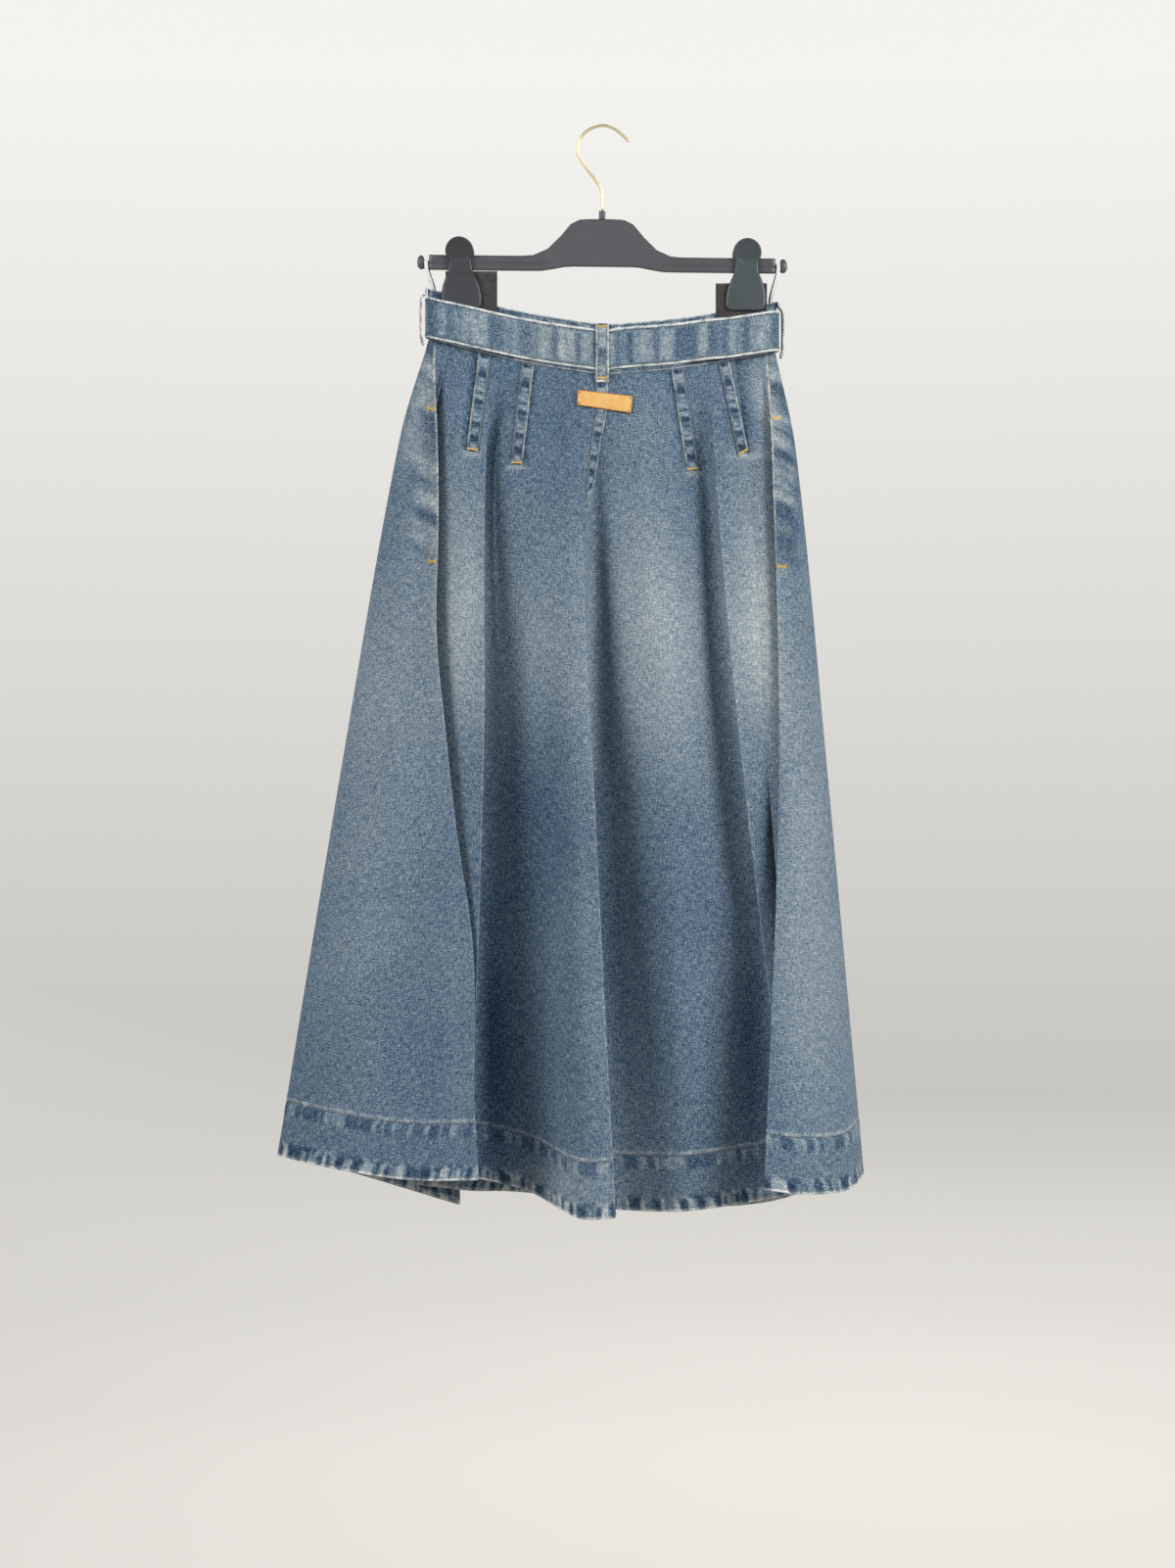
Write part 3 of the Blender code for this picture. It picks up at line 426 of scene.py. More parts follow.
def leg_end(corner, towards, other, kind):
    """Where a corner's rounding ends on the side of a neighbour."""
    gap = hypot(towards[0] - corner[0], towards[1] - corner[1])
    if kind == "soft":
        return blend(corner, towards, SOFT_LEG)
    other_gap = hypot(other[0] - corner[0], other[1] - corner[1])
    return blend(corner, towards, CRISP_LEG * min(gap, other_gap * LEG_RATIO) / gap)


def crease_push(points, normals):
    """How far the creases move each point of a section outwards."""
    push = np.zeros(len(points))
    for side, x_top, z_top, x_low, z_low, half_width, depth in CREASES:
        along = np.clip((points[:, 2] - z_top) / (z_low - z_top), -0.5, 1.5)
        across = points[:, 0] - (x_top + (x_low - x_top) * along)
        if abs(x_low - x_top) > abs(z_low - z_top):
            along = np.clip((points[:, 0] - x_top) / (x_low - x_top), -0.5, 1.5)
            across = points[:, 2] - (z_top + (z_low - z_top) * along)
        taper = np.sin(pi * np.clip(along, 0, 1)) ** 0.7
        facing = np.clip(normals[:, 1] * side, 0, 1)
        push += depth * facing * taper * np.exp(-(across / half_width) ** 2)
    return push


def section(s):
    """The creased section at s: points (x, out, z), unit normals, and the seams' and edges' indices."""
    corners = level_corners(s)
    count = len(corners)
    points, seams, edges = [], {}, {}
    for i, (name, kind, corner) in enumerate(corners):
        before, after = corners[i - 1][2], corners[(i + 1) % count][2]
        start, stop = leg_end(corner, before, after, kind), leg_end(corner, after, before, kind)
        if name in EDGE_WEAR:
            edges[name] = len(points) + POINTS_A_CORNER // 2
        for t in steps(0, 1, POINTS_A_CORNER - 1):
            points.append(blend(blend(start, corner, t), blend(corner, stop, t), t))
        next_start = leg_end(after, corner, corners[(i + 2) % count][2], corners[(i + 1) % count][1])
        if name in SEAM_LINES:
            seams[name] = len(points) + 1
        points += [blend(stop, next_start, share) for share in (0.06, 0.5, 0.94)]
    if s == 0:
        points = [(x, out, waist_seam(x)) for x, out, z in points]
    points = np.array(points)
    ahead = np.roll(points, -1, axis=0) - np.roll(points, 1, axis=0)
    normals = np.stack([-ahead[:, 1], ahead[:, 0]], axis=1)
    normals /= np.linalg.norm(normals, axis=1)[:, None]
    push = crease_push(points, normals)
    above_stitches = (1 - s) * CLOTH_DROP - HEM_DEPTH
    for above, breadth, rise in HEM_RELIEF:
        push += rise * np.exp(-(above_stitches - above) ** 2 / breadth)
    points[:, :2] += normals * push[:, None]
    return points, normals, seams, edges


WASH_AND_PAINTED_SHADE = [                   # washed places, and painted shade in the deep fold valleys by the hem: side, x, z, half width, half height, lean of x down, strength
    (1,  -138, -480,  24, 130,  0.00,  0.30),
    (1,  -138, -640,  24,  90,  0.00, -0.10),
    (1,  -136, -740,  26,  80,  0.00,  0.04),
    (1,   -65, -670,  40,  80,  0.00, -0.17),
    (1,    -8, -860,  16, 150,  0.05,  0.11),
    (1,    80, -670,  50,  80,  0.08, -0.07),
    (1,   166, -655,  24,  90,  0.08, -0.22),
    (1,  -186, -306,  14,  36, -0.20,  0.34),
    (1,   158, -290,  13,  56,  0.00,  0.52),
    (1,    42, -285,  30,  40,  0.00,  0.07),
    (1,   -95, -262,  14,  40,  0.00, -0.06),
    (1,   -50, -1042, 46,  24,  0.00,  0.18),
    (1,   -70, -490,  30,  70,  0.00,  0.06),
    (1,   -34, -520,  30,  90,  0.05,  0.07),
    (1,    50, -480,  44, 130,  0.08,  0.26),
    (1,    70, -600,  44, 110,  0.08,  0.05),
    (1,   150, -485,  22, 132,  0.06,  0.42),
    (1,   190, -650,  26, 120,  0.06,  0.12),
    (1,   202, -820,  50, 170,  0.10,  0.28),
    (1,  -215, -540,  46, 150, -0.20,  0.10),
    (1,  -235, -780,  60, 120, -0.20,  0.13),
    (1,   -43, -291,  30,  40,  0.00, -0.05),
    # painted shade: the next row darkens the deep valley right of the left pleat's edge by the hem, with some
    # less-faded indigo hidden there
    (1,  -100, -940,  24, 150,  0.00, -0.20),
    (1,  -132, -900,  16, 100,  0.00,  0.10),
    (1,    26, -1000, 20,  80,  0.00,  0.09),
    # painted shade: these two rows darken the deep valleys beside the folds' edges by the hem, with some
    # less-faded indigo hidden there
    (1,   148, -890,  14, 140, -0.03, -0.26),
    (1,  -110, -900,   9, 120,  0.00, -0.20),
    (-1,  -70, -520,  60, 150, -0.05,  0.22),
    (-1,   75, -520,  60, 150,  0.05,  0.22),
    (-1, -190, -640,  50, 160, -0.15,  0.16),
    (-1,  190, -640,  50, 160,  0.10,  0.16),
]
PLEATS = [                  # strips that a pleat is stitched down into, and the side it is folded on
    # name               top_left          top_right         low_left          low_right        folded side
    ("pleat_back_1",    (-122.3, -224.0), (-110.0, -226.9), (-133.5, -321.5), (-121.9, -323.4), 0),
    ("pleat_back_2",    (-79.7, -234.0),  (-67.4, -236.7),  (-90.2, -335.2),  (-78.6, -335.6),  1),
    ("pleat_back_3",    (68.3, -241.8),   (80.8, -240.1),   (83.6, -341.9),   (95.1, -340.0),   0),
    ("pleat_back_4",    (115.0, -234.6),  (125.8, -232.8),  (133.8, -327.0),  (143.9, -321.5),  1),
]


def pleat_shadow_and_wear(x, z):
    """Round a stitched-down pleat: painted shadow beside its folded edge, partly also unfaded indigo there,
    and wear under its end.
    """
    marks = 0.0
    for name, top_left, top_right, low_left, low_right, folded in PLEATS:
        top, low = (top_left, low_left) if folded == 0 else (top_right, low_right)
        down = np.clip((z - top[1]) / (low[1] - top[1]), 0, 1)
        outside = (x - top[0] - (low[0] - top[0]) * down) * (-1 if folded == 0 else 1)
        # painted shadow: a dark line just outside the folded edge, where the edge's shade falls, partly also
        # unfaded indigo by the ridge
        beside = np.exp(-((outside - 1.2) / 2.2) ** 2) * (z < top[1]) * (z > low[1] - 1)
        under = np.hypot(np.clip(np.maximum(low_left[0] - x, x - low_right[0]), 0, None),
                         z - (low_left[1] + low_right[1]) / 2 + 2.5)
        marks = marks - 0.26 * beside + 0.34 * np.exp(-(under / 3.6) ** 2)
    return marks


def tone_at(x, z, side):
    """How light the wash has left the denim: dark under the waist, rubbed at the hips, blue below, with
    painted shade in the deep fold valleys by the hem and beside the pleats' folded edges.
    """
    depths = [240, 330, 400, 470, 560, 640, 760, 880, 1005, 1045, 1100]
    tones = [0.42, 0.44, 0.48, 0.54, 0.56, 0.52, 0.43, 0.42, 0.42, 0.49, 0.50]
    tone = np.interp(-z, depths, tones)
    for face, at_x, at_z, half_width, half_height, lean, strength in WASH_AND_PAINTED_SHADE:
        across = (x - at_x - lean * (at_z - z)) / half_width
        tone = tone + strength * (side == face) * np.exp(-across ** 2 - ((z - at_z) / half_height) ** 2)
    return tone + (side == 1) * pleat_shadow_and_wear(x, z)


def reach_along(points):
    """The distance along each row of a grid from the row's first point."""
    reach = np.zeros(points.shape[:2])
    reach[:, 1:] = np.cumsum(np.linalg.norm(np.diff(points, axis=1), axis=2), axis=1)
    return reach


def lay_down(points):
    """The weave's place under a grid: round each row from its middle and down each column, in metres."""
    round_it = reach_along(points)
    round_it -= round_it[:, round_it.shape[1] // 2][:, None]
    down = reach_along(points.transpose(1, 0, 2)).T
    return np.stack([round_it, -down], axis=-1) * MM


def cloth_mesh(name, points, wear=0.0, rope=0.0, along=0.0, tone=0.0, thread=None):
    """A grid of points in millimetres as a mesh, with the cloth's attributes for its finish.

    wear is where it is rubbed white, rope where it has the striped wear of a puckered seam,
    along a distance down that seam, tone its wash, with painted shade and painted light where they are given,
    and thread its place in the weave, in metres.
    """
    thread = lay_down(points) if thread is None else thread
    rows, columns = points.shape[:2]
    index = np.arange(rows * columns).reshape(rows, columns)
    faces = np.stack([index[:-1, :-1], index[1:, :-1], index[1:, 1:], index[:-1, 1:]], axis=-1).reshape(-1, 4)
    mesh = bpy.data.meshes.new(name)
    place = points.reshape(-1, 3) * MM
    mesh.from_pydata(place.tolist(), [], faces.tolist())
    for label, values in (("wear", wear), ("rope", rope), ("along", along), ("tone", tone)):
        values = np.broadcast_to(np.asarray(values, float), (rows, columns)).reshape(-1)
        mesh.attributes.new(label, "FLOAT", "POINT").data.foreach_set("value", values.astype(np.float32))
    corner = np.zeros(len(mesh.loops), np.int32)
    mesh.loops.foreach_get("vertex_index", corner)
    uv = mesh.uv_layers.new(name="thread")
    uv.data.foreach_set("uv", thread.reshape(-1, 2)[corner].astype(np.float32).ravel())
    mesh.shade_smooth()
    return mesh


def maths(tree, operation, a, b=0.5, c=0.5):
    return new_node(tree, "ShaderNodeMath", {0: a, 1: b, 2: c}, operation=operation).outputs[0]


def noise(tree, vector, scale, detail=2.0, roughness=0.5, stretch=None, turn=0.0):
    """Noise from -0.5 to 0.5, stretched along its own axes."""
    if stretch is not None:
        vector = new_node(tree, "ShaderNodeMapping", {"Vector": vector, "Scale": (*stretch, 1.0),
                                                      "Rotation": (0, 0, turn)}).outputs[0]
    made = new_node(tree, "ShaderNodeTexNoise", {"Vector": vector, "Scale": scale, "Detail": detail,
                                                 "Roughness": roughness})
    return maths(tree, "SUBTRACT", made.outputs["Fac"], 0.5)


def bump(tree, height, strength, distance):
    made = new_node(tree, "ShaderNodeBump", {"Height": height, "Strength": strength, "Distance": distance})
    return made.outputs["Normal"]


def weave_place(tree):
    return new_node(tree, "ShaderNodeUVMap", uv_map="thread").outputs["UV"]


def attribute(tree, name):
    return new_node(tree, "ShaderNodeAttribute", attribute_name=name).outputs["Fac"]


DENIM_TONES = [             # from raw indigo to bare weft, at a tone from 0 to 1.3
    (0.00, (0.009, 0.023, 0.054)),
    (0.19, (0.039, 0.080, 0.140)),
    (0.38, (0.120, 0.182, 0.245)),
    (0.58, (0.254, 0.312, 0.352)),
    (0.77, (0.430, 0.480, 0.490)),
    (1.00, (0.780, 0.780, 0.730)),
]


def denim(name, rope_pitch=9.0, grain=1.0, lift=0.0):
    """Washed denim: indigo warp over white weft, slubs both ways, mottled and rubbed."""
    material, tree, shader = new_material(name)
    thread = weave_place(tree)
    wear, rope, along, tone = [attribute(tree, label) for label in ("wear", "rope", "along", "tone")]
    warp = noise(tree, thread, 1000.0, 1.0, stretch=(0.75, 0.16))
    weft = noise(tree, thread, 1000.0, 1.0, stretch=(0.15, 0.7))
    heather = noise(tree, thread, 700.0, 2.0, 0.75)
    mottle = noise(tree, thread, 95.0, 3.0, 0.6)
    cloud = noise(tree, thread, 14.0, 2.0, 0.5)
    tone = maths(tree, "ADD", tone, lift)
    for part, amount in ((warp, 0.75), (weft, 0.60), (heather, 1.60), (mottle, 0.28), (cloud, 0.16)):
        tone = maths(tree, "MULTIPLY_ADD", part, amount * grain, tone)
    seam_place = new_node(tree, "ShaderNodeCombineXYZ", {"X": along, "Y": rope}).outputs[0]
    pucker = noise(tree, seam_place, 1000.0 / rope_pitch, 1.0, 0.5, stretch=(1.0, 0.006))
    pucker = new_node(tree, "ShaderNodeMapRange", {"Value": pucker, "From Min": -0.13, "From Max": 0.15,
                                                   "To Min": -0.34, "To Max": 0.36},
                      interpolation_type="SMOOTHSTEP").outputs["Result"]
    fray = maths(tree, "MULTIPLY_ADD", mottle, 1.6, 1.0)
    tone = maths(tree, "MULTIPLY_ADD", maths(tree, "MULTIPLY", pucker, fray), rope, tone)
    rub = maths(tree, "MULTIPLY_ADD", heather, 0.9, 0.70)
    rub = maths(tree, "MULTIPLY_ADD", mottle, 2.2, rub)
    tone = maths(tree, "ADD", tone, maths(tree, "MULTIPLY", wear, rub))
    colour = ramp(tree, maths(tree, "DIVIDE", tone, 1.3), DENIM_TONES)
    twill = new_node(tree, "ShaderNodeTexWave", {"Vector": thread, "Scale": 430.0, "Distortion": 1.2},
                     wave_type="BANDS", bands_direction="DIAGONAL").outputs["Fac"]
    height = maths(tree, "MULTIPLY_ADD", twill, 0.25, maths(tree, "ADD", warp, weft))
    height = maths(tree, "MULTIPLY_ADD", pucker, maths(tree, "MULTIPLY", rope, 2.5), height)
    feed(tree, shader, {"Base Color": colour, "Normal": bump(tree, height, 0.5, 0.0005), "Roughness": 0.88,
                        "Specular IOR Level": 0.2, "Sheen Weight": 0.12, "Sheen Roughness": 0.5})
    return material


def dress(name, mesh, materials, nodes, wall=None, offset=-1.0):
    """Make a mesh a piece of the object that stands for its CAD nodes."""
    piece = put(name, mesh)
    for material in materials:
        mesh.materials.append(material)
    if wall:
        solid = piece.modifiers.new("wall", "SOLIDIFY")
        solid.thickness = wall * MM
        solid.offset = offset
        solid.use_even_offset = False
        solid.use_quality_normals = True
        solid.material_offset = len(materials) - 1
    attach(piece, "root")
    if nodes:
        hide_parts(*nodes)
    return piece


DENIM_FACE = denim("denim_face")
DENIM_BACK = denim("denim_reverse", grain=0.8, lift=0.12)
SKIRT_LEVELS = steps(0, 0.15, 48)[:-1] + steps(0.15, 0.92, 74)[:-1] + steps(0.92, 1, 32)[:-1]
SKIRT_LEVELS += [0.9984, 1]
SECTIONS = [section(s) for s in SKIRT_LEVELS]


def panel_columns(first, last):
    """Indices round the section from one seam to the next."""
    start, stop = SECTIONS[0][2][first], SECTIONS[0][2][last]
    count = len(SECTIONS[0][0])
    return list(range(start, stop + 1)) if start < stop else list(range(start, count)) + list(range(stop + 1))


def edge_wear(points, columns, level_s):
    """Rubbed white along the folds' edges, by the distance from them round the cloth."""
    wear = np.zeros(points.shape[:2])
    round_it = reach_along(points)
    for name, (at_waist, at_thigh, at_hem) in EDGE_WEAR.items():
        index = SECTIONS[0][3][name]
        if index in columns:
            away = np.abs(round_it - round_it[:, columns.index(index)][:, None])
            strength = np.interp(level_s, (0, 0.17, 0.25, 0.6, 1),
                                 (at_waist, at_waist, at_thigh, at_thigh, at_hem))
            width = np.interp(level_s, (0, 0.3, 1), (1.1, 1.3, 1.6))
            wear = np.maximum(wear, strength[:, None] * np.exp(-(away / width[:, None]) ** 2))
    return wear


def pocket_pucker(points, columns, level_s):
    """Blotches beside the pocket openings, where the doubled edge puckers and rubs."""
    round_it = reach_along(points)
    fades = np.interp(level_s, (0, 0.03, 0.22, 0.28), (0.3, 0.75, 0.75, 0.0))[:, None]
    pucker = np.zeros(points.shape[:2])
    for name, way in (("left_pocket", -1), ("right_pocket", 1)):
        index = SECTIONS[0][3][name]
        if index in columns:
            away = (round_it - round_it[:, columns.index(index)][:, None]) * way
            pucker = np.maximum(pucker, fades * smooth_step(0.0, 2.0, away) * (1 - smooth_step(12, 42, away)))
    return pucker


HEM_STRIPES_LOW, HEM_STRIPES_HIGH = 1.15, 0.60
HEM_SHELL = 0.8
level_s = np.array(SKIRT_LEVELS)
up = ((1 - level_s) * CLOTH_DROP)[:, None]
hem_rope = HEM_STRIPES_LOW * (1.0 - smooth_step(7, 19, up))
hem_rope += (smooth_step(37, 43, up) - smooth_step(51.5, 53, up)) * HEM_STRIPES_HIGH
hem_wear = np.exp(-(up / 2.3) ** 2) + 0.5 * np.exp(-((up - HEM_DEPTH - 2.4) / 1.5) ** 2)
hem_rows = [i for i, s in enumerate(SKIRT_LEVELS) if s >= HEM_LEVEL]
for name, first, last, cut_width, cut_area in PANELS:
    columns = panel_columns(first, last)
    points = np.stack([points[columns] * (1, -1, 1) for points, normals, seams, edges in SECTIONS])
    thread = lay_down(points)
    wear = np.maximum(edge_wear(points, columns, level_s), hem_wear)
    side = np.sign(-points[..., 1])
    puckered = np.maximum(hem_rope, pocket_pucker(points, columns, level_s))
    along = np.where(level_s[:, None] > 0.5, thread[..., 0], thread[..., 1] * 0.45 + thread[..., 0] * 0.2)
    mesh = cloth_mesh(name + "_cloth", points, wear, puckered, along,
                      tone_at(points[..., 0], points[..., 2], side), thread)
    panel = dress(name + "_cloth", mesh, [DENIM_FACE, DENIM_BACK], [name], PANEL_WALL)
    normals = np.stack([SECTIONS[i][1][columns] * (1, -1) for i in hem_rows])
    inner = points[hem_rows].copy()
    inner[..., :2] -= normals * (PANEL_WALL + 0.2)
    inner[-1, :, 2] += 1.5
    # painted light: the inner hem turnings are lightened, the front ones most, for light that does not reach
    # them
    painted_light_lift = 0.12 if name.startswith("back") else 0.30
    mesh = cloth_mesh(name + "_hem_turning", inner, hem_wear[hem_rows], hem_rope[hem_rows] * 1.3,
                      thread[hem_rows][..., 0], tone_at(inner[..., 0], inner[..., 2], 1) + painted_light_lift,
                      thread[hem_rows] * (-1, 1))
    turning = dress(name + "_hem_turning", mesh, [DENIM_FACE], ["hem_facing_" + name],
                    HEM_SHELL)

# ---- Sewing thread ----
# Lock stitches in tobacco and navy thread, and golden bar tacks where a seam takes strain.
# One node tree lays a stitch on every step of a seam line, so each row stays even.
sewing = bpy.data.node_groups.new("sewing", "GeometryNodeTree")
for label, kind in (("Seam lines", "Geometry"), ("Pitch", "Float"), ("Stitch length", "Float"),
                    ("Thread width", "Float"), ("Seed", "Int"), ("Thread", "Material")):
    sewing.interface.new_socket(name=label, in_out="INPUT", socket_type="NodeSocket" + kind)
sewing.interface.new_socket(name="Stitches", in_out="OUTPUT", socket_type="NodeSocketGeometry")
given = sewing.nodes.new("NodeGroupInput").outputs
seam = new_node(sewing, "GeometryNodeMeshToCurve", {"Mesh": given["Seam lines"]})
spaced = new_node(sewing, "GeometryNodeResampleCurve", {"Curve": seam.outputs[0], "Length": given["Pitch"]},
                  mode="LENGTH")
seam_way = new_node(sewing, "GeometryNodeInputTangent")
turned = new_node(sewing, "FunctionNodeAlignRotationToVector", {"Vector": seam_way.outputs[0]}, axis="Z")
uneven = new_node(sewing, "FunctionNodeRandomValue", {"Seed": given["Seed"]}, data_type="FLOAT")
uneven.inputs[2].default_value = 0.85
uneven.inputs[3].default_value = 1.05
long = new_node(sewing, "ShaderNodeMath", {0: given["Stitch length"], 1: uneven.outputs[1]},
                operation="MULTIPLY")
wide = given["Thread width"]
shape = new_node(sewing, "ShaderNodeCombineXYZ", {"X": wide, "Y": wide, "Z": long.outputs[0]})
stitch = new_node(sewing, "GeometryNodeMeshUVSphere", {"Segments": 6, "Rings": 4, "Radius": 0.5})
laid = new_node(sewing, "GeometryNodeInstanceOnPoints", {
    "Points": spaced.outputs[0], "Instance": stitch.outputs["Mesh"],
    "Rotation": turned.outputs[0], "Scale": shape.outputs[0]})
real = new_node(sewing, "GeometryNodeRealizeInstances", {"Geometry": laid.outputs[0]})
smooth = new_node(sewing, "GeometryNodeSetShadeSmooth", {"Geometry": real.outputs[0]})
threaded = new_node(sewing, "GeometryNodeSetMaterial", {"Geometry": smooth.outputs[0],
                                                        "Material": given["Thread"]})
new_node(sewing, "NodeGroupOutput", {"Stitches": threaded.outputs[0]})


def thread_of(name, colour, dark):
    """Plied thread, worn lighter and darker from place to place."""
    material, tree, shader = new_material(name)
    place = object_place(tree)
    ply = noise(tree, place, 900.0, 1.0)
    worn = noise(tree, place, 60.0, 2.0)
    amount = maths(tree, "ADD", maths(tree, "MULTIPLY_ADD", ply, 1.2, 0.5), worn)
    feed(tree, shader, {"Base Color": ramp(tree, amount, [(0.1, dark), (0.9, colour)]),
                        "Roughness": 0.6, "Sheen Weight": 0.2})
    return material


TOBACCO = thread_of("tobacco_thread", (0.55, 0.40, 0.20), (0.16, 0.12, 0.07))
NAVY = thread_of("navy_thread", (0.06, 0.07, 0.09), (0.012, 0.016, 0.026))
UMBER = thread_of("umber_thread", (0.15, 0.105, 0.06), (0.02, 0.018, 0.018))
GOLDEN = thread_of("golden_thread", (0.88, 0.62, 0.12), (0.55, 0.34, 0.05))
THREAD_SEED = 7


def sew(name, lines, thread, pitch=3.0, length=2.2, width=0.8):
    """Stitches along lines of points in millimetres, as one piece."""
    places, edges = [], []
    for line in lines:
        edges += [(len(places) + i, len(places) + i + 1) for i in range(len(line) - 1)]
        places += [tuple(Vector(point) * MM) for point in line]
    mesh = bpy.data.meshes.new(name)
    mesh.from_pydata(places, edges, [])
    row = put(name, mesh)
    sewn = row.modifiers.new("sewing", "NODES")
    sewn.node_group = sewing
    values = {"Pitch": pitch * MM, "Stitch length": length * MM, "Thread width": width * MM,
              "Seed": THREAD_SEED, "Thread": thread}
    for socket in sewing.interface.items_tree:
        if socket.in_out == "INPUT" and socket.name in values:
            sewn[socket.identifier] = values[socket.name]
    made = bpy.data.meshes.new_from_object(row.evaluated_get(bpy.context.evaluated_depsgraph_get()))
    row.modifiers.clear()
    row.data = made
    made.name = name
    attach(row, "root")


def tack(start, stop, across, half=0.9, pitch=0.42):
    """The zigzag of a bar tack between two points."""
    start, stop, across = Vector(start), Vector(stop), Vector(across).normalized()
    count = max(4, int((stop - start).length / pitch))
    return [start.lerp(stop, i / count) + across * half * (1 if i % 2 else -1) for i in range(count + 1)]


skin_points = np.stack([points * (1, -1, 1) for points, normals, seams, edges in SECTIONS])
skin_rows, skin_columns = skin_points.shape[:2]
skin_faces = []
for level in range(skin_rows - 1):
    for i in range(skin_columns):
        here, beside = level * skin_columns + i, level * skin_columns + (i + 1) % skin_columns
        below, below_beside = here + skin_columns, beside + skin_columns
        skin_faces += [(here, below, below_beside), (here, below_beside, beside)]
SKIN = BVHTree.FromPolygons([Vector(point) for point in skin_points.reshape(-1, 3)], skin_faces)
LOOK_FROM = 400.0           # clear of the skirt, in front of it or behind it


def seated(x, z, side=1, lift=0.0):
    """The point of the skirt's surface at x, z seen from the back (1) or the front (-1), moved out."""
    place = SKIN.ray_cast(Vector((x, -LOOK_FROM * side, z)), Vector((0, side, 0)))[0]
    return x, place.y - side * lift, z


def hem_line(above, lift=0.25):
    """A closed line on the cloth, a distance above its lower edge."""
    points, normals, seams, edges = section(1 - above / CLOTH_DROP)
    points[:, :2] += normals * lift
    points[:, 1] *= -1
    return [*points.tolist(), points[0].tolist()]


def beside_edge(name, way, distance, s, lift=0.25):
    """A point on the cloth at a distance round it from a fold's edge."""
    points, normals, seams, edges = section(s)
    index, gone = edges[name], 0.0
    while True:
        gap = float(np.linalg.norm(points[index + way] - points[index]))
        if gone + gap >= distance:
            part = (distance - gone) / gap
            place = points[index] + (points[index + way] - points[index]) * part
            normal = normals[index] + (normals[index + way] - normals[index]) * part
            return place[0] + normal[0] * lift, -(place[1] + normal[1] * lift), place[2]
        gone += gap
        index += way


POCKETS = [                 # edge, way round to its outer side, levels of its upper and lower bar tack
    ("left_pocket", -1, 0.083, 0.267),
    ("right_pocket", 1, 0.079, 0.258),
]
TACK_NEAR, TACK_FAR = 2.0, 9.5
TACK_LIFT = 0.45
TACK_HALF_LEVEL = 0.003
BAR_STITCHES = (0.7, 1.2, 0.6)     # pitch, length and width of a bar tack's stitches
pocket_rows, pocket_tacks = [], []
for edge, way, upper, lower in POCKETS:
    for distance in (1.9, 9.6):
        pocket_rows.append([beside_edge(edge, way, distance, s) for s in steps(0.0, lower, 60)])
    for s in (upper, lower):
        for distance in (TACK_NEAR, TACK_FAR):
            ends = [beside_edge(edge, way, distance, level, TACK_LIFT)
                    for level in (s - TACK_HALF_LEVEL, s + TACK_HALF_LEVEL)]
            pocket_tacks.append(tack(*ends, (1, 0, 0), half=0.6))
        ends = [beside_edge(edge, way, distance, s, TACK_LIFT) for distance in (TACK_FAR, TACK_NEAR)]
        pocket_tacks.append(tack(*ends, (0, 0, 1)))
sew("hem_stitches", [hem_line(HEM_DEPTH)], UMBER, 2.9, 2.4, 1.0)
sew("hem_edge_stitches", [hem_line(3.2)], UMBER, 2.4, 1.4, 0.8)
sew("pocket_stitches", pocket_rows, TOBACCO)
sew("pocket_bar_tacks", pocket_tacks, GOLDEN, *BAR_STITCHES)

# ---- Stitched-down pleats ----
# Four pleats at the back are pressed to one side and sewn flat as narrow strips below the waist.
# One side is the folded edge, rubbed white. Both sides are stitched, and a bar tack ends each.


STRIP_ROUNDING = 0.45       # share of the wall that the folded edge loses to its roundness
STITCH_DENT = 0.28
STITCHES_IN = 1.9
SEWN_FLAT = 0.55            # share of the wall that is left at the sewn edge


def eased_point(points, at):
    """The point at a place along a smooth line through points."""
    return [eased(values, range(len(points)), at) for values in zip(*points)]


def strip(name, rows_of_corners, folded, wall=1.5, lift=0.15, rows=70, columns=15, white=0.95, tone=0.40):
    """A narrow strip seated on the skirt: its mesh, and lines for its stitches."""
    grid, shares = [], np.linspace(0, 1, columns)
    for at in np.linspace(0, len(rows_of_corners) - 1, rows):
        left, right = [eased_point(line, at) for line in zip(*rows_of_corners)]
        row = []
        width = hypot(right[0] - left[0], right[1] - left[1])
        for share in shares:
            from_fold = (share if folded == 0 else 1 - share) * width
            proud = wall * (1 - STRIP_ROUNDING * max(0.0, 1 - from_fold) ** 2)
            proud -= STITCH_DENT * np.exp(-((from_fold - STITCHES_IN) / 0.8) ** 2)
            to_sewn = 1 - share if folded == 0 else share
            proud *= SEWN_FLAT + (1 - SEWN_FLAT) * smooth_step(0.0, 0.35, to_sewn)
            x, z = blend(left, right, share)
            row.append(seated(x, z, 1, lift + float(proud)))
        grid.append(row)
    points = np.array(grid)
    thread = lay_down(points)
    widths = np.linalg.norm(points[:, -1] - points[:, 0], axis=1)[:, None]
    near_fold = np.abs(shares - folded)[None, :] * widths
    near_sewn = np.abs(shares - (1 - folded))[None, :] * widths
    wear = white * np.exp(-(near_fold / 1.1) ** 2) + 0.18 * np.exp(-(near_sewn / 0.9) ** 2)
    rope = np.clip(near_fold / 3.5, 0, 1) * np.clip(near_sewn / 3.0, 0, 1) * 0.85
    mesh = cloth_mesh(name + "_cloth", points, wear, rope, thread[..., 1], tone, thread)
    fold_line = points[:, 2 if folded == 0 else -3] + (0, -0.3, 0)
    sewn_line = points[:, -2 if folded == 0 else 1] + (0, -0.3, 0)
    return mesh, points, fold_line, sewn_line


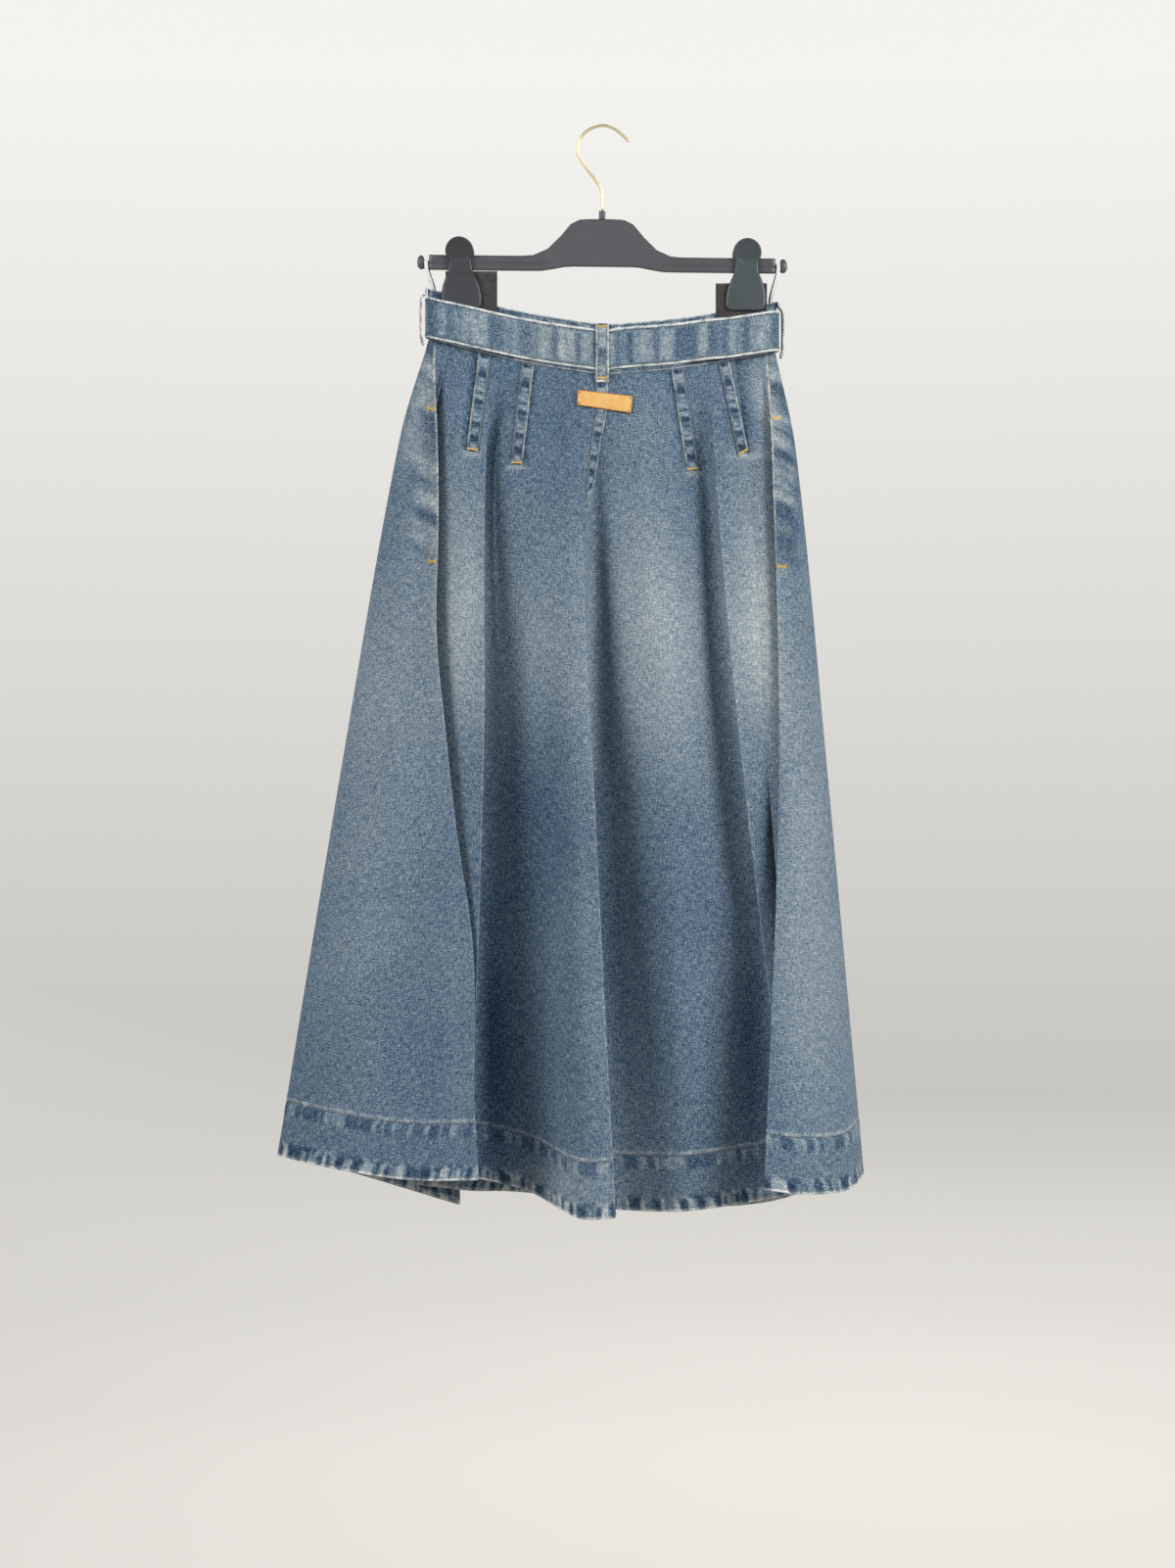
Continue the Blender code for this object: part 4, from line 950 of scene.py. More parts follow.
STRIP_SHELL = 0.6
DENIM_STRIP = denim("denim_strip", rope_pitch=7.5)
pleat_rows, pleat_tacks = [], []
for name, top_left, top_right, low_left, low_right, folded in PLEATS:
    corners = [(top_left, top_right), (low_left, low_right)]
    mesh, points, fold_line, sewn_line = strip(name, corners, folded)
    pleat = dress(name + "_cloth", mesh, [DENIM_STRIP], [name], STRIP_SHELL)
    pleat_rows += [fold_line, sewn_line]
    ends = [points[-2, column] + (0, -0.4, 0) for column in (1, -2)]
    pleat_tacks.append(tack(*ends, (0, 0, 1), half=0.75))
sew("pleat_stitches", pleat_rows, TOBACCO, 2.5, 1.9, 0.7)
sew("pleat_bar_tacks", pleat_tacks, GOLDEN, *BAR_STITCHES)

# ---- Centre back seam ----
# A flat-felled seam: the right panel's turned edge lies over the left one, with two rows of stitches.
# It curves to the left as it goes down, and goes out of sight under the edge of the middle fold.
FELL = [                    # left and right edge of the strip, down from the waist
    ((-6.4, -256.0), (5.5, -256.0)),
    ((-6.8, -284.0), (4.2, -284.0)),
    ((-10.4, -311.0), (-0.9, -311.0)),
    ((-13.2, -334.0), (-4.6, -334.0)),
    ((-15.0, -357.0), (-8.4, -357.0)),
    ((-15.6, -378.0), (-12.2, -378.0)),
]
FELL_SEWN = 70              # rows of the strip whose second line of stitches is in sight
mesh, points, fold_line, sewn_line = strip("back_seam_fell", FELL, 1, wall=1.2, rows=90, white=0.85,
                                           tone=0.44)
fell = dress("back_seam_fell_cloth", mesh, [DENIM_STRIP], ["back_seam_fell"], STRIP_SHELL)
sew("fell_stitches", [fold_line, sewn_line[:FELL_SEWN]], TOBACCO, 2.7, 2.1, 0.55)

# ---- Leather patch ----
# A small rectangle of smooth tan leather, left bare, that lies over the centre back seam.
# It is cut to size with raw edges, and held by a stitch in each corner.
PATCH = ((-24.4, -262.3), (30.1, -268.2), (-25.1, -277.8), (28.4, -285.4))
PATCH_WIDTH, PATCH_HEIGHT = 55.0, 17.0
PATCH_WALL = 1.5
PATCH_SHELL = 1.3
PATCH_SEAT = 1.25           # from the panel to the patch's underside, over the seam's strip
HOLE_IN = 2.4               # a corner stitch's distance from the edges


def patch_point(across, down, lift):
    left, right = blend(PATCH[0], PATCH[2], down), blend(PATCH[1], PATCH[3], down)
    x, z = blend(left, right, across)
    return seated(x, z, 1, PATCH_SEAT + lift)


grid, rims = [], []
for down in np.linspace(0, 1, 19):
    row, rim_row = [], []
    for across in np.linspace(0, 1, 49):
        from_side = min(across, 1 - across) * PATCH_WIDTH
        from_end = min(down, 1 - down) * PATCH_HEIGHT
        rim = min(from_side, from_end)
        hole = hypot(from_side - HOLE_IN, from_end - HOLE_IN)
        lift = PATCH_WALL - 0.55 * max(0.0, 1 - rim) ** 2 - 0.35 * np.exp(-(hole / 0.9) ** 2)
        row.append(patch_point(across, down, lift))
        rim_row.append(rim)
    grid.append(row)
    rims.append(rim_row)
mesh = cloth_mesh("leather_patch_hide", np.array(grid), wear=np.exp(-(np.array(rims) / 0.8) ** 2), tone=0.5)
LEATHER, tree, shader = new_material("tan_leather")
thread = weave_place(tree)
pores = new_node(tree, "ShaderNodeTexVoronoi", {"Vector": thread, "Scale": 1300.0}).outputs["Distance"]
stain = noise(tree, thread, 120.0, 4.0, 0.6)
depth = maths(tree, "MULTIPLY_ADD", attribute(tree, "wear"), -0.80, 0.74)
depth = maths(tree, "MULTIPLY_ADD", stain, 0.8, depth)
depth = maths(tree, "MULTIPLY_ADD", pores, 0.12, depth)
tan = ramp(tree, depth, [(0.1, (0.36, 0.14, 0.035)), (0.5, (0.68, 0.34, 0.085)), (0.95, (0.87, 0.52, 0.17))])
relief = bump(tree, maths(tree, "ADD", pores, stain), 0.35, 0.0003)
feed(tree, shader, {"Base Color": tan, "Normal": relief, "Roughness": 0.55, "Specular IOR Level": 0.35})
patch = dress("leather_patch_hide", mesh, [LEATHER], ["leather_patch"], PATCH_SHELL)
corner_rows = []
for down in (HOLE_IN / PATCH_HEIGHT, 1 - HOLE_IN / PATCH_HEIGHT):
    for across in (HOLE_IN / PATCH_WIDTH, 1 - HOLE_IN / PATCH_WIDTH):
        middle = Vector(patch_point(across, down, PATCH_WALL + 0.1))
        corner_rows.append([middle + Vector((-0.7, 0, 0.3)), middle + Vector((0.7, 0, -0.3))])
sew("patch_stitches", corner_rows, NAVY, 0.8, 1.2, 0.9)

# ---- Fly and waist button ----
# The hidden front closes with a plain fly strip under three rows of stitches and a waist button.
# The strip is the same denim folded double. The button and the belt's buckle are brushed brass.
FLY = [                     # left and right edge of the strip, down from the waist
    ((4.0, -262.0), (40.0, -262.0)),
    ((4.0, -330.0), (39.0, -328.0)),
    ((4.0, -400.0), (34.0, -392.0)),
]
FLY_WIDTH = 35
FLY_COLUMNS = 31
grid = []
for at in np.linspace(0, len(FLY) - 1, 70):
    left, right = [eased_point(line, at) for line in zip(*FLY)]
    grid.append([seated(*blend(right, left, share), -1, 0.8 + 0.9 * (1 - 0.5 * abs(2 * share - 1) ** 12))
                 for share in np.linspace(0, 1, FLY_COLUMNS)])
points = np.array(grid)
thread = lay_down(points)
across = np.linspace(0, FLY_WIDTH, FLY_COLUMNS)
from_rim = np.minimum(across, FLY_WIDTH - across)[None, :]
rope = np.exp(-((from_rim - 4) / 3.0) ** 2) * 0.8
wear = 0.6 * np.exp(-(from_rim / 1.1) ** 2)
tone = tone_at(points[..., 0], points[..., 2], -1)
mesh = cloth_mesh("fly_strip_cloth", points, wear, rope, thread[..., 1], tone, thread)
fly = dress("fly_strip_cloth", mesh, [DENIM_FACE], ["fly_strip"], 0.7)
sew("fly_stitches", [points[:, column] + (0, 0.3, 0) for column in (3, 24, 27)], TOBACCO)


def metal(name, colour, dark, roughness):
    """Metal with a little tarnish, and a fine grain in its shine."""
    material, tree, shader = new_material(name)
    place = object_place(tree)
    tarnish = maths(tree, "MULTIPLY_ADD", noise(tree, place, 90.0, 4.0, 0.6), 1.3, 0.6)
    fine = noise(tree, place, 2500.0, 2.0)
    feed(tree, shader, {"Base Color": ramp(tree, tarnish, [(0.0, dark), (0.8, colour)]), "Metallic": 1.0,
                        "Roughness": maths(tree, "MULTIPLY_ADD", fine, 0.12, roughness)})
    return material


BRASS = metal("brushed_brass", (0.66, 0.57, 0.35), (0.50, 0.40, 0.21), 0.45)
for node in ("waist_button", "buckle_frame", "buckle_prong"):
    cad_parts[node].material_slots[0].material = BRASS

# ---- Waistband ----
# A straight band of the same denim in two layers, top-stitched along both edges.
# The panels are sewn into its lower edge, and the hanger's clips pinch it flat.
BAND_ROWS = [0.0, 0.35, 0.8, 1.4, 2.1, 3.0, 4.5, 7, 10, 15, 20, 25, 30, 35, 39.5, 42.5, 45, 46.5, 47.4,
             48.1, 48.7, 49.15, 49.5]
BAND_SEAM_IN = 2.3          # the band's stitches, from its edges
GRIP_RISE = 6.0


def waist_girths(start, stop, step=2.4):
    """Girths for a strip round the waist, close together at the turned ends."""
    marks = list(np.arange(start, stop, step)) + [stop]
    for turn in range(-1, 5):
        quarter = (turn + 0.5) * GIRTH / 2
        marks += [mark for mark in np.arange(quarter - 12, quarter + 12, 0.5) if start < mark < stop]
    return sorted(set(round(float(mark), 3) for mark in marks))


def between(rise_from, rise_to, fall_from, fall_to, value):
    """1 between the two middle places, easing to 0 at the outer ones."""
    return float(smooth_step(rise_from, rise_to, value) - smooth_step(fall_from, fall_to, value))


def gripped_top(x):
    """The band's upper edge, drawn up where the clips grip it."""
    return band_top(x) + GRIP_RISE * between(112, 128, 146, 162, abs(x))


def pillow(down, height, rise=0.7, stitch_at=2.2, stitch_depth=0.3):
    """How far a stitched strip's face stands in from its fullest at a distance down it."""
    rim = min(down, height - down)
    return rise * max(0.0, 1 - rim / 1.5) ** 2 + stitch_depth * np.exp(-((rim - stitch_at) / 0.8) ** 2)


def from_edges(rows, height):
    """Each row's distance from the nearer edge of a strip, as a column."""
    return np.minimum(np.array(rows), height - np.array(rows))[:, None]


band_girths = waist_girths(GIRTH / 2 - GIRTH + 0.4, GIRTH / 2 - 0.4)
grid = []
for down in BAND_ROWS:
    row = []
    for girth in band_girths:
        x, out = BAND_PLAN.at(girth, float(pillow(down, BAND_HEIGHT)) - 0.1)
        top = gripped_top(x)
        low = band_top(x) - BAND_HEIGHT
        row.append((x, -out, top + (low - top) * down / BAND_HEIGHT))
    grid.append(row)
points = np.array(grid)
thread = lay_down(points)
rim = from_edges(BAND_ROWS, BAND_HEIGHT)
wear, rope = 0.85 * np.exp(-(rim / 1.1) ** 2), np.exp(-((rim - 6) / 4.0) ** 2) * 0.8
mesh = cloth_mesh("waistband_cloth", points, wear, rope, thread[..., 0], 0.5, thread)
waistband = dress("waistband_cloth", mesh, [denim("denim_band"), DENIM_BACK], ["waistband"],
                  BAND_WALL - 0.2)


def waist_line(plan, girths, outside, height):
    """A line round the waist, at distances outside a plan and at heights by x."""
    line = []
    for girth in girths:
        x, out = plan.at(girth, -outside(girth))
        line.append((x, -out, height(x)))
    return line


sew("waistband_stitches", [
    waist_line(BAND_PLAN, band_girths, lambda girth: 0.2, lambda x: gripped_top(x) - BAND_SEAM_IN),
    waist_line(BAND_PLAN, band_girths, lambda girth: 0.2, lambda x: band_top(x) - BAND_HEIGHT + BAND_SEAM_IN),
], NAVY, 2.9, 2.3, 0.6)

# ---- Belt ----
# A flat belt of doubled denim, washed into soft upright stripes, with thick white edges where it is rubbed.
# It runs over the clips' feet, through the buckle at the front, and its tip lies on the second round.
BELT_HEIGHT = 40.5
BELT_DROP = 5.5
BELT_DROP_ENDS = 3.3
BELT_PULL = 1.5
BELT_WALL = 2.2
PAD_GAP, PAD_WALL = 0.3, 1.6
FOOT_GAP, FOOT_WALL = 0.4, 3.0
OVER_FEET = PAD_GAP + PAD_WALL + FOOT_GAP + FOOT_WALL + 0.6
BELT_START = GIRTH / 2 + 26.0
BELT_SEAM_IN = 3.1          # the belt's stitches, from its edges
BAR_GIRTH = GIRTH * 3 / 2 + 20.0
RAIL_GIRTH = GIRTH * 3 / 2 - 22.0
BELT_TIP = BAR_GIRTH + 104.0
BELT_LIFTS = [              # how far the belt stands beyond its plain run, by girth
    (BELT_START, 0.0), (RAIL_GIRTH + 4.0, 0.0), (BAR_GIRTH - 5.0, 4.9), (BAR_GIRTH + 5.0, 4.9),
    (BAR_GIRTH + 24.0, 2.8), (BELT_TIP, 2.8),
]
BELT_RIM = [0.0, 0.3, 0.7, 1.1, 1.6, 2.1, 2.6, 3.1, 3.8, 5.0]
BELT_ROWS = BELT_RIM + [8, 12, 16, 20.25, 24.5, 28.5, 32.5] + [BELT_HEIGHT - down for down in BELT_RIM[::-1]]


def belt_out(x):
    """The belt follows the band, and stands off it to pass over the clips' feet."""
    across = abs(x)
    lift = between(78, 108, 164.5, 171.5, across)
    return band_out(min(across, END_FROM)) + 0.5 + OVER_FEET * lift


BELT_PLAN = Plan(closed_plan(belt_out, BAND_END_X + 0.5, END_FROM))


def belt_top(x):
    """The belt's upper edge, which sits a little higher right of the middle."""
    across = x / BAND_END_X
    pulled_up = BELT_PULL * between(6, 16, 90, 135, x)
    return band_top(x) - BELT_DROP - BELT_DROP_ENDS * across * across + pulled_up


def belt_lift(girth):
    for (low, lift), (high, next_lift) in zip(BELT_LIFTS, BELT_LIFTS[1:]):
        if low <= girth <= high:
            return lift + (next_lift - lift) * float(smooth_step(low, high, girth))
    return BELT_LIFTS[-1][1]


def belt_tone(x, y):
    """The belt's wash at the back, lighter right of the middle, and even at the front."""
    places = (-170, -92, -60, -44, 0, 44, 102, 150, 175)
    tones = (0.39, 0.67, 0.65, 0.65, 0.58, 0.50, 0.58, 0.59, 0.59)
    return np.where(y < 0, np.interp(x, places, tones), 0.58)


belt_girths = waist_girths(BELT_START, BELT_TIP, 2.0)
grid = []
for down in BELT_ROWS:
    row = []
    for girth in belt_girths:
        waver = 0.35 * sin(girth / 9.0) + 0.25 * sin(girth / 4.1 + 2)
        sunk = float(pillow(down, BELT_HEIGHT, 0.8, BELT_SEAM_IN))
        x, out = BELT_PLAN.at(girth, sunk - belt_lift(girth) - BELT_WALL)
        row.append((x, -out, belt_top(x) - down + waver * 0.35))
    grid.append(row)
points = np.array(grid)
thread = lay_down(points)
rim = from_edges(BELT_ROWS, BELT_HEIGHT)
mesh = cloth_mesh("belt_cloth", points, 1 - smooth_step(1.9, 2.8, rim), smooth_step(3.0, 6.0, rim) * 0.60,
                  thread[..., 0], belt_tone(points[..., 0], points[..., 1]), thread)
belt = dress("belt_cloth", mesh, [denim("denim_belt", rope_pitch=15.0)], ["belt"], BELT_WALL)


def belt_face(girth):
    return belt_lift(girth) + BELT_WALL + 0.05


sew("belt_stitches", [
    waist_line(BELT_PLAN, belt_girths, belt_face, lambda x: belt_top(x) - BELT_SEAM_IN),
    waist_line(BELT_PLAN, belt_girths, belt_face, lambda x: belt_top(x) - BELT_HEIGHT + BELT_SEAM_IN),
], NAVY, 2.8, 2.0, 1.0)

# ---- Belt loops ----
# Five narrow loops of folded denim, white along their folded edges, with two rows of stitches.
# Each is tacked to the waistband above the belt, and to the cloth below it.
LOOP_WIDTH = 12.6
LOOP_WALL = 1.4
LOOPS = [
    # name               girth              over  tail  flare
    ("loop_back",        0.0,               0.0,  11.5, 0.12),
    ("loop_right",       GIRTH / 4,         2.0,  6.4,  0.55),
    ("loop_front_right", GIRTH / 2 - 62.0,  0.0,  9.0,  0.24),
    ("loop_front_left",  GIRTH / 2 + 62.0,  3.6,  9.0,  0.24),
    ("loop_left",        GIRTH * 3 / 4,     2.8,  6.4,  0.60),
]
DENIM_LOOP = denim("denim_loop", rope_pitch=10.0)


def smoothed(line, rounds):
    """A line of points with its corners worn round, and its ends kept."""
    line = np.array(line)
    for _ in range(rounds):
        line[1:-1] = (line[:-2] + line[1:-1] * 2 + line[2:]) / 4
    return line


loop_rows, loop_tacks = [], []
for name, girth, over, tail, flare in LOOPS:
    foot = Vector(BAND_PLAN.at(girth))
    outward = (Vector(BAND_PLAN.at(girth, -1.0)) - foot).normalized()
    across = Vector((outward.y, -outward.x))
    near = 0.5
    far = (Vector(BELT_PLAN.at(girth)) - foot).dot(outward) + BELT_WALL + over + 0.7
    upper = belt_top(foot.x)
    lower, top = upper - BELT_HEIGHT, band_top(foot.x) + 0.5
    end = near + flare * max(0.0, waist_seam(foot.x) - lower + tail) + 0.2
    profile = [(near, top), (near, upper + 4.4), (far - 0.9, upper + 1.8), (far, upper - 1.0),
               (far + 0.3, (upper + lower) / 2), (far, lower + 1.0), (far - 0.9, lower - 1.6),
               (end, lower - 4.6), (end, lower - tail)]
    fine = []
    for a, b in zip(profile, profile[1:]):
        count = max(2, int(hypot(b[0] - a[0], b[1] - a[1]) / 1.2))
        fine += [blend(a, b, i / count) for i in range(count)]
    shares = np.linspace(-0.5, 0.5, 17)
    grid = []
    for reach, z in smoothed(fine + [profile[-1]], 3):
        row = []
        for share in shares:
            rim = (0.5 - abs(share)) * LOOP_WIDTH
            proud = LOOP_WALL - 0.6 * max(0.0, 1 - rim / 1.2) ** 2 - 0.25 * np.exp(-((rim - 2.1) / 0.7) ** 2)
            place = foot + outward * (reach + float(proud)) + across * float(share) * LOOP_WIDTH
            row.append((place.x, -place.y, z))
        grid.append(row)
    points = np.array(grid)
    thread = lay_down(points)
    rim = ((0.5 - np.abs(shares)) * LOOP_WIDTH)[None, :]
    wear = np.broadcast_to(0.95 * (1 - smooth_step(0.7, 1.5, rim)), points.shape[:2]).copy()
    wear[-2:] = 0.8
    rope = smooth_step(1.6, 3.4, rim) * 0.8
    mesh = cloth_mesh(name + "_cloth", points, wear, rope, thread[..., 1], 0.56, thread)
    loop = dress(name + "_cloth", mesh, [DENIM_LOOP], [name], LOOP_WALL - 0.1)
    away = Vector((outward.x, -outward.y, 0))
    for column in (3, -4):
        loop_rows.append([Vector(point) + away * 0.28 for point in points[2:-2, column]])
    sideways = Vector((across.x, -across.y, 0))
    for row in (3, len(points) - 4):
        middle = Vector(points[row, 8]) + away * 0.5
        loop_tacks.append(tack(middle - sideways * 4.6, middle + sideways * 4.6, (0, 0, 1), half=0.8))
sew("loop_stitches", loop_rows, TOBACCO, 2.6, 2.0, 0.55)
sew("loop_bar_tacks", loop_tacks, GOLDEN, *BAR_STITCHES)

# ---- Hanger ----
# A moulded bar of dark grey plastic, with a rib and groove along its arms and a raised middle that
# holds a plastic collar and a swivelling hook of bent brass wire.
BAR_MID_Z = -135.8
BAR_TILT = 0.63
BAR_TOP = [                 # distance from the middle, and height over the middle line
    (0, 44.6), (10, 44.5), (22, 43.9), (31, 39.5), (41, 27.5), (54, 14.6), (68, 8.3), (80, 7.4), (171.3, 7.4),
]
BAR_LOW = [(0, -2.6), (30, -2.6), (38, -3.2), (48, -5.2), (60, -7.2), (72, -7.4), (171.3, -7.4)]
BAR_HALF = 3.5
BAR_SIDES = 26
GROOVE_FROM = 47.0


def plastic(name, colour, light, roughness):
    """Moulded plastic with a fine pebbled face."""
    material, tree, shader = new_material(name)
    place = object_place(tree)
    cloudy = noise(tree, place, 30.0, 3.0)
    speck = noise(tree, place, 1800.0, 2.0)
    amount = maths(tree, "MULTIPLY_ADD", speck, 0.5, maths(tree, "ADD", cloudy, 0.5))
    feed(tree, shader, {"Base Color": ramp(tree, amount, [(0.2, colour), (0.8, light)]),
                        "Roughness": maths(tree, "MULTIPLY_ADD", speck, 0.2, roughness),
                        "Normal": bump(tree, speck, 0.12, 0.0002)})
    return material


BAR_PLASTIC = plastic("grey_bar_plastic", (0.062, 0.064, 0.070), (0.080, 0.083, 0.090), 0.42)
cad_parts["hanger_ferrule"].material_slots[0].material = BAR_PLASTIC


def close_mesh(name, rings):
    """A solid through closed rings of points in millimetres, its ends filled."""
    shape = bmesh.new()
    loops = [[shape.verts.new(Vector(point) * MM) for point in ring] for ring in rings]
    for near_ring, far_ring in zip(loops, loops[1:]):
        for i in range(len(near_ring)):
            beside = (i + 1) % len(near_ring)
            shape.faces.new((near_ring[i], near_ring[beside], far_ring[beside], far_ring[i]))
    shape.faces.new(loops[0][::-1])
    shape.faces.new(loops[-1])
    bmesh.ops.recalc_face_normals(shape, faces=shape.faces)
    mesh = bpy.data.meshes.new(name)
    shape.to_mesh(mesh)
    shape.free()
    mesh.shade_smooth()
    return mesh


def read_off(table, at):
    """The value at a place in a table of places and values."""
    return float(np.interp(at, [place for place, value in table], [value for place, value in table]))


def bar_middle(x):
    """The height of the bar's middle line at x: the bar hangs a little out of level."""
    return BAR_MID_Z - sin(radians(BAR_TILT)) * x


def bar_ring(x):
    """The bar's cross-section at x: round shoulders, and a rib over a groove on the arms."""
    top = read_off(BAR_TOP, abs(x))
    low = read_off(BAR_LOW, abs(x))
    cut = float(smooth_step(GROOVE_FROM, GROOVE_FROM + 16, abs(x)))
    side = [                # out, z: down the near side
        (BAR_HALF - 1.7, top), (BAR_HALF - 0.7, top - 0.35), (BAR_HALF - 0.1, top - 1.3),
        (BAR_HALF, top - 2.6), (BAR_HALF, max(1.6, low + 3.4)), (BAR_HALF + 0.25 * cut, max(1.2, low + 3.0)),
        (BAR_HALF + 0.3 * cut, max(0.2, low + 2.4)), (BAR_HALF - 0.9 * cut, max(-0.9, low + 2.0)),
        (BAR_HALF - 0.9 * cut, max(-1.6, low + 1.7)), (BAR_HALF - 0.25 * cut, max(-2.4, low + 1.4)),
        (BAR_HALF - 0.2 * cut, low + 1.1), (BAR_HALF - 0.9, low + 0.25), (BAR_HALF - 1.9, low),
    ]
    middle = bar_middle(x)
    return [(x, -out, middle + z) for out, z in side] + [(x, out, middle + z) for out, z in side[::-1]]


def end_ring(x, top, low, half):
    middle, rise = bar_middle(x) + (top + low) / 2, (top - low) / 2
    return [(x, -half * cos(turn), middle + rise * sin(turn))
            for turn in np.linspace(pi / 2, pi / 2 - 2 * pi, BAR_SIDES, endpoint=False)]


BAR_ENDS = [                # x, top, low, half depth: the notch for a ribbon, then the knob that keeps it in
    (171.4, 6.4, -6.6, 3.1), (171.8, 1.6, -6.4, 2.9), (173.0, 1.1, -6.0, 2.8), (175.4, 1.1, -5.6, 2.8),
    (176.2, 4.6, -6.2, 3.2), (176.9, 6.0, -6.6, 3.4), (178.4, 7.0, -7.0, 3.5), (180.2, 6.9, -6.9, 3.4),
    (181.8, 5.4, -5.6, 2.9), (182.8, 3.4, -3.6, 2.0), (183.1, 1.4, -1.6, 0.9),
]
arm = list(np.linspace(86, 171.2, 24))
places = [-x for x in arm[::-1]] + [round(float(x), 2) for x in np.linspace(-84, 84, 113)] + arm
rings = [end_ring(-x, top, low, half) for x, top, low, half in BAR_ENDS[::-1]]
rings += [bar_ring(float(x)) for x in places]
rings += [end_ring(x, top, low, half) for x, top, low, half in BAR_ENDS]
dress("hanger_bar_moulding", close_mesh("hanger_bar_moulding", rings), [BAR_PLASTIC], ["hanger_bar"])

WIRE = 2.8
WIRE_ENDS = (0.55, 0.82, 0.95)     # the wire's rounded ends, as shares of its thickness
HOOK_POINTS = [             # centre line of the wire, x and z, from the collar to the tip
    (0.0, -83.0), (0.0, -66.9), (-2.6, -58.6), (-9.0, -49.4), (-15.9, -40.7), (-22.0, -30.8),
    (-23.9, -21.2), (-21.6, -11.8), (-15.9, -4.6), (-7.3, -0.1), (1.6, 1.4), (9.4, -0.6),
    (16.2, -4.8), (22.0, -9.8), (26.6, -14.6),
]
path = np.array([eased_point(HOOK_POINTS, at) for at in np.linspace(0, len(HOOK_POINTS) - 1, 140)])
ahead = np.gradient(path, axis=0)
ahead /= np.linalg.norm(ahead, axis=1)[:, None]
rings = []
for i, (place, way) in enumerate(zip(path, ahead)):
    to_end = min(i, len(path) - 1 - i)
    radius = WIRE / 2 * (WIRE_ENDS[to_end] if to_end < len(WIRE_ENDS) else 1)
    rings.append([(place[0] - way[1] * radius * cos(turn), radius * sin(turn),
                   place[1] + way[0] * radius * cos(turn))
                  for turn in np.linspace(0, 2 * pi, 18, endpoint=False)])
dress("hanger_hook_wire", close_mesh("hanger_hook_wire", rings), [BRASS], ["hanger_hook"])

# ---- Clips ----
# Two spring clips of softer grey plastic, each with a near and a far lever: a dished round thumb tab
# above the bar, a neck that passes it, and a wide foot with rounded corners that grips the waistband.
CLIPS = [                   # name, top x, foot x, z shift
    ("clip_left", -141.6, -138.7, 0.8),
    ("clip_right", 143.6, 141.8, -0.8),
]
TAB_Z = -124.8
TAB_RADIUS = 14.1
LEVER_FOOT = [              # z and half width, from the neck down
    (-134.0, 11.3), (-138.0, 11.3), (-143.5, 12.2), (-148.0, 13.8), (-153.0, 16.0), (-159.0, 18.2),
    (-166.0, 19.6), (-172.5, 20.0), (-177.0, 19.5), (-179.6, 18.0), (-181.0, 15.5), (-181.5, 12.5),
]
LEVER_OUT = [               # depth below the origin, and how far the lever's inner face stands out
    (110.5, 12.7), (117.5, 10.2), (124.6, 7.2), (131.5, 4.4), (136.0, 4.1), (143.5, 4.2), (151.0, 5.7),
    (182.0, 5.7),
]
LEVER_WALL = 2.45
LEVER_SHELL = 2.0
RIM_ROUND = 1.2
# The two clips are one plastic in lit and shaded copies: the left clip's darker copy is painted shade, and
# the right clip's greyer copy is the lit one.
CLIP_PLASTICS = {
    "clip_left": plastic("clip_plastic_shaded_copy", (0.028, 0.030, 0.035), (0.038, 0.040, 0.046), 0.40),
    "clip_right": plastic("clip_plastic_lit_copy", (0.042, 0.056, 0.062), (0.056, 0.070, 0.076), 0.40),
}
outline = [(TAB_Z + TAB_RADIUS * sin(turn), max(0.4, TAB_RADIUS * cos(turn)))
           for turn in np.linspace(pi / 2, -radians(36), 30)]
outline += [eased_point(LEVER_FOOT, at) for at in np.linspace(0, len(LEVER_FOOT) - 1, 56)]
tab_top, foot_end = outline[0][0], outline[-1][0]
for name, top_x, foot_x, shift in CLIPS:
    for side, place in ((1, "near"), (-1, "far")):
        grid = []
        for z, half_width in outline:
            centre = top_x + (foot_x - top_x) * (z - tab_top) / (foot_end - tab_top)
            row = []
            for share in np.linspace(-1, 1, 25):
                rim = min((1 - abs(share)) * half_width, RIM_ROUND, tab_top - z, z - foot_end)
                crown = 0.55 * (1 - (share * half_width / 20.0) ** 2)
                from_tab = hypot(share * half_width, (z - TAB_Z) * 0.92) / 12.4
                dish = 1.1 * (1 - float(smooth_step(0.55, 1.0, from_tab)))
                out = read_off(LEVER_OUT, -z) + LEVER_WALL + crown - dish
                out -= 0.9 * max(0.0, 1 - rim / RIM_ROUND) ** 2
                row.append((centre + half_width * share * side, -out * side, z + shift))
            grid.append(row)
        lever = f"{name}_{place}"
        mesh = cloth_mesh(lever + "_lever", np.array(grid))
        dress(lever + "_lever", mesh, [CLIP_PLASTICS[name]], [lever], LEVER_SHELL)

# ---- Felt pads ----
# A strip of black felt folded over the waistband under each clip, so the jaws leave no mark.
# It is cut to size with raw edges, and only the clip's grip holds it.
PAD_INNER = PINCH_OUT + PAD_GAP
PAD_COVER = 4.5             # how far under the top the felt starts to fold over
PADS = [
    # name, x from, x to, foot z, z it is straight up to, top z, half width of its fold, felt in metres
    ("pad_left", -155.0, -104.0, -194.4, -157.5, -142.6, 2.1, 0.110),
    ("pad_right", 112.5, 163.0, -196.6, -162.6, -154.6, PAD_INNER, 0.092),
]
FELT, tree, shader = new_material("black_felt")
thread = weave_place(tree)
hairs = noise(tree, thread, 900.0, 3.0, 0.7, stretch=(1.0, 0.35), turn=0.6)
lint = noise(tree, thread, 160.0, 3.0, 0.6)
amount = maths(tree, "ADD", maths(tree, "MULTIPLY_ADD", hairs, 0.9, 0.5), lint)
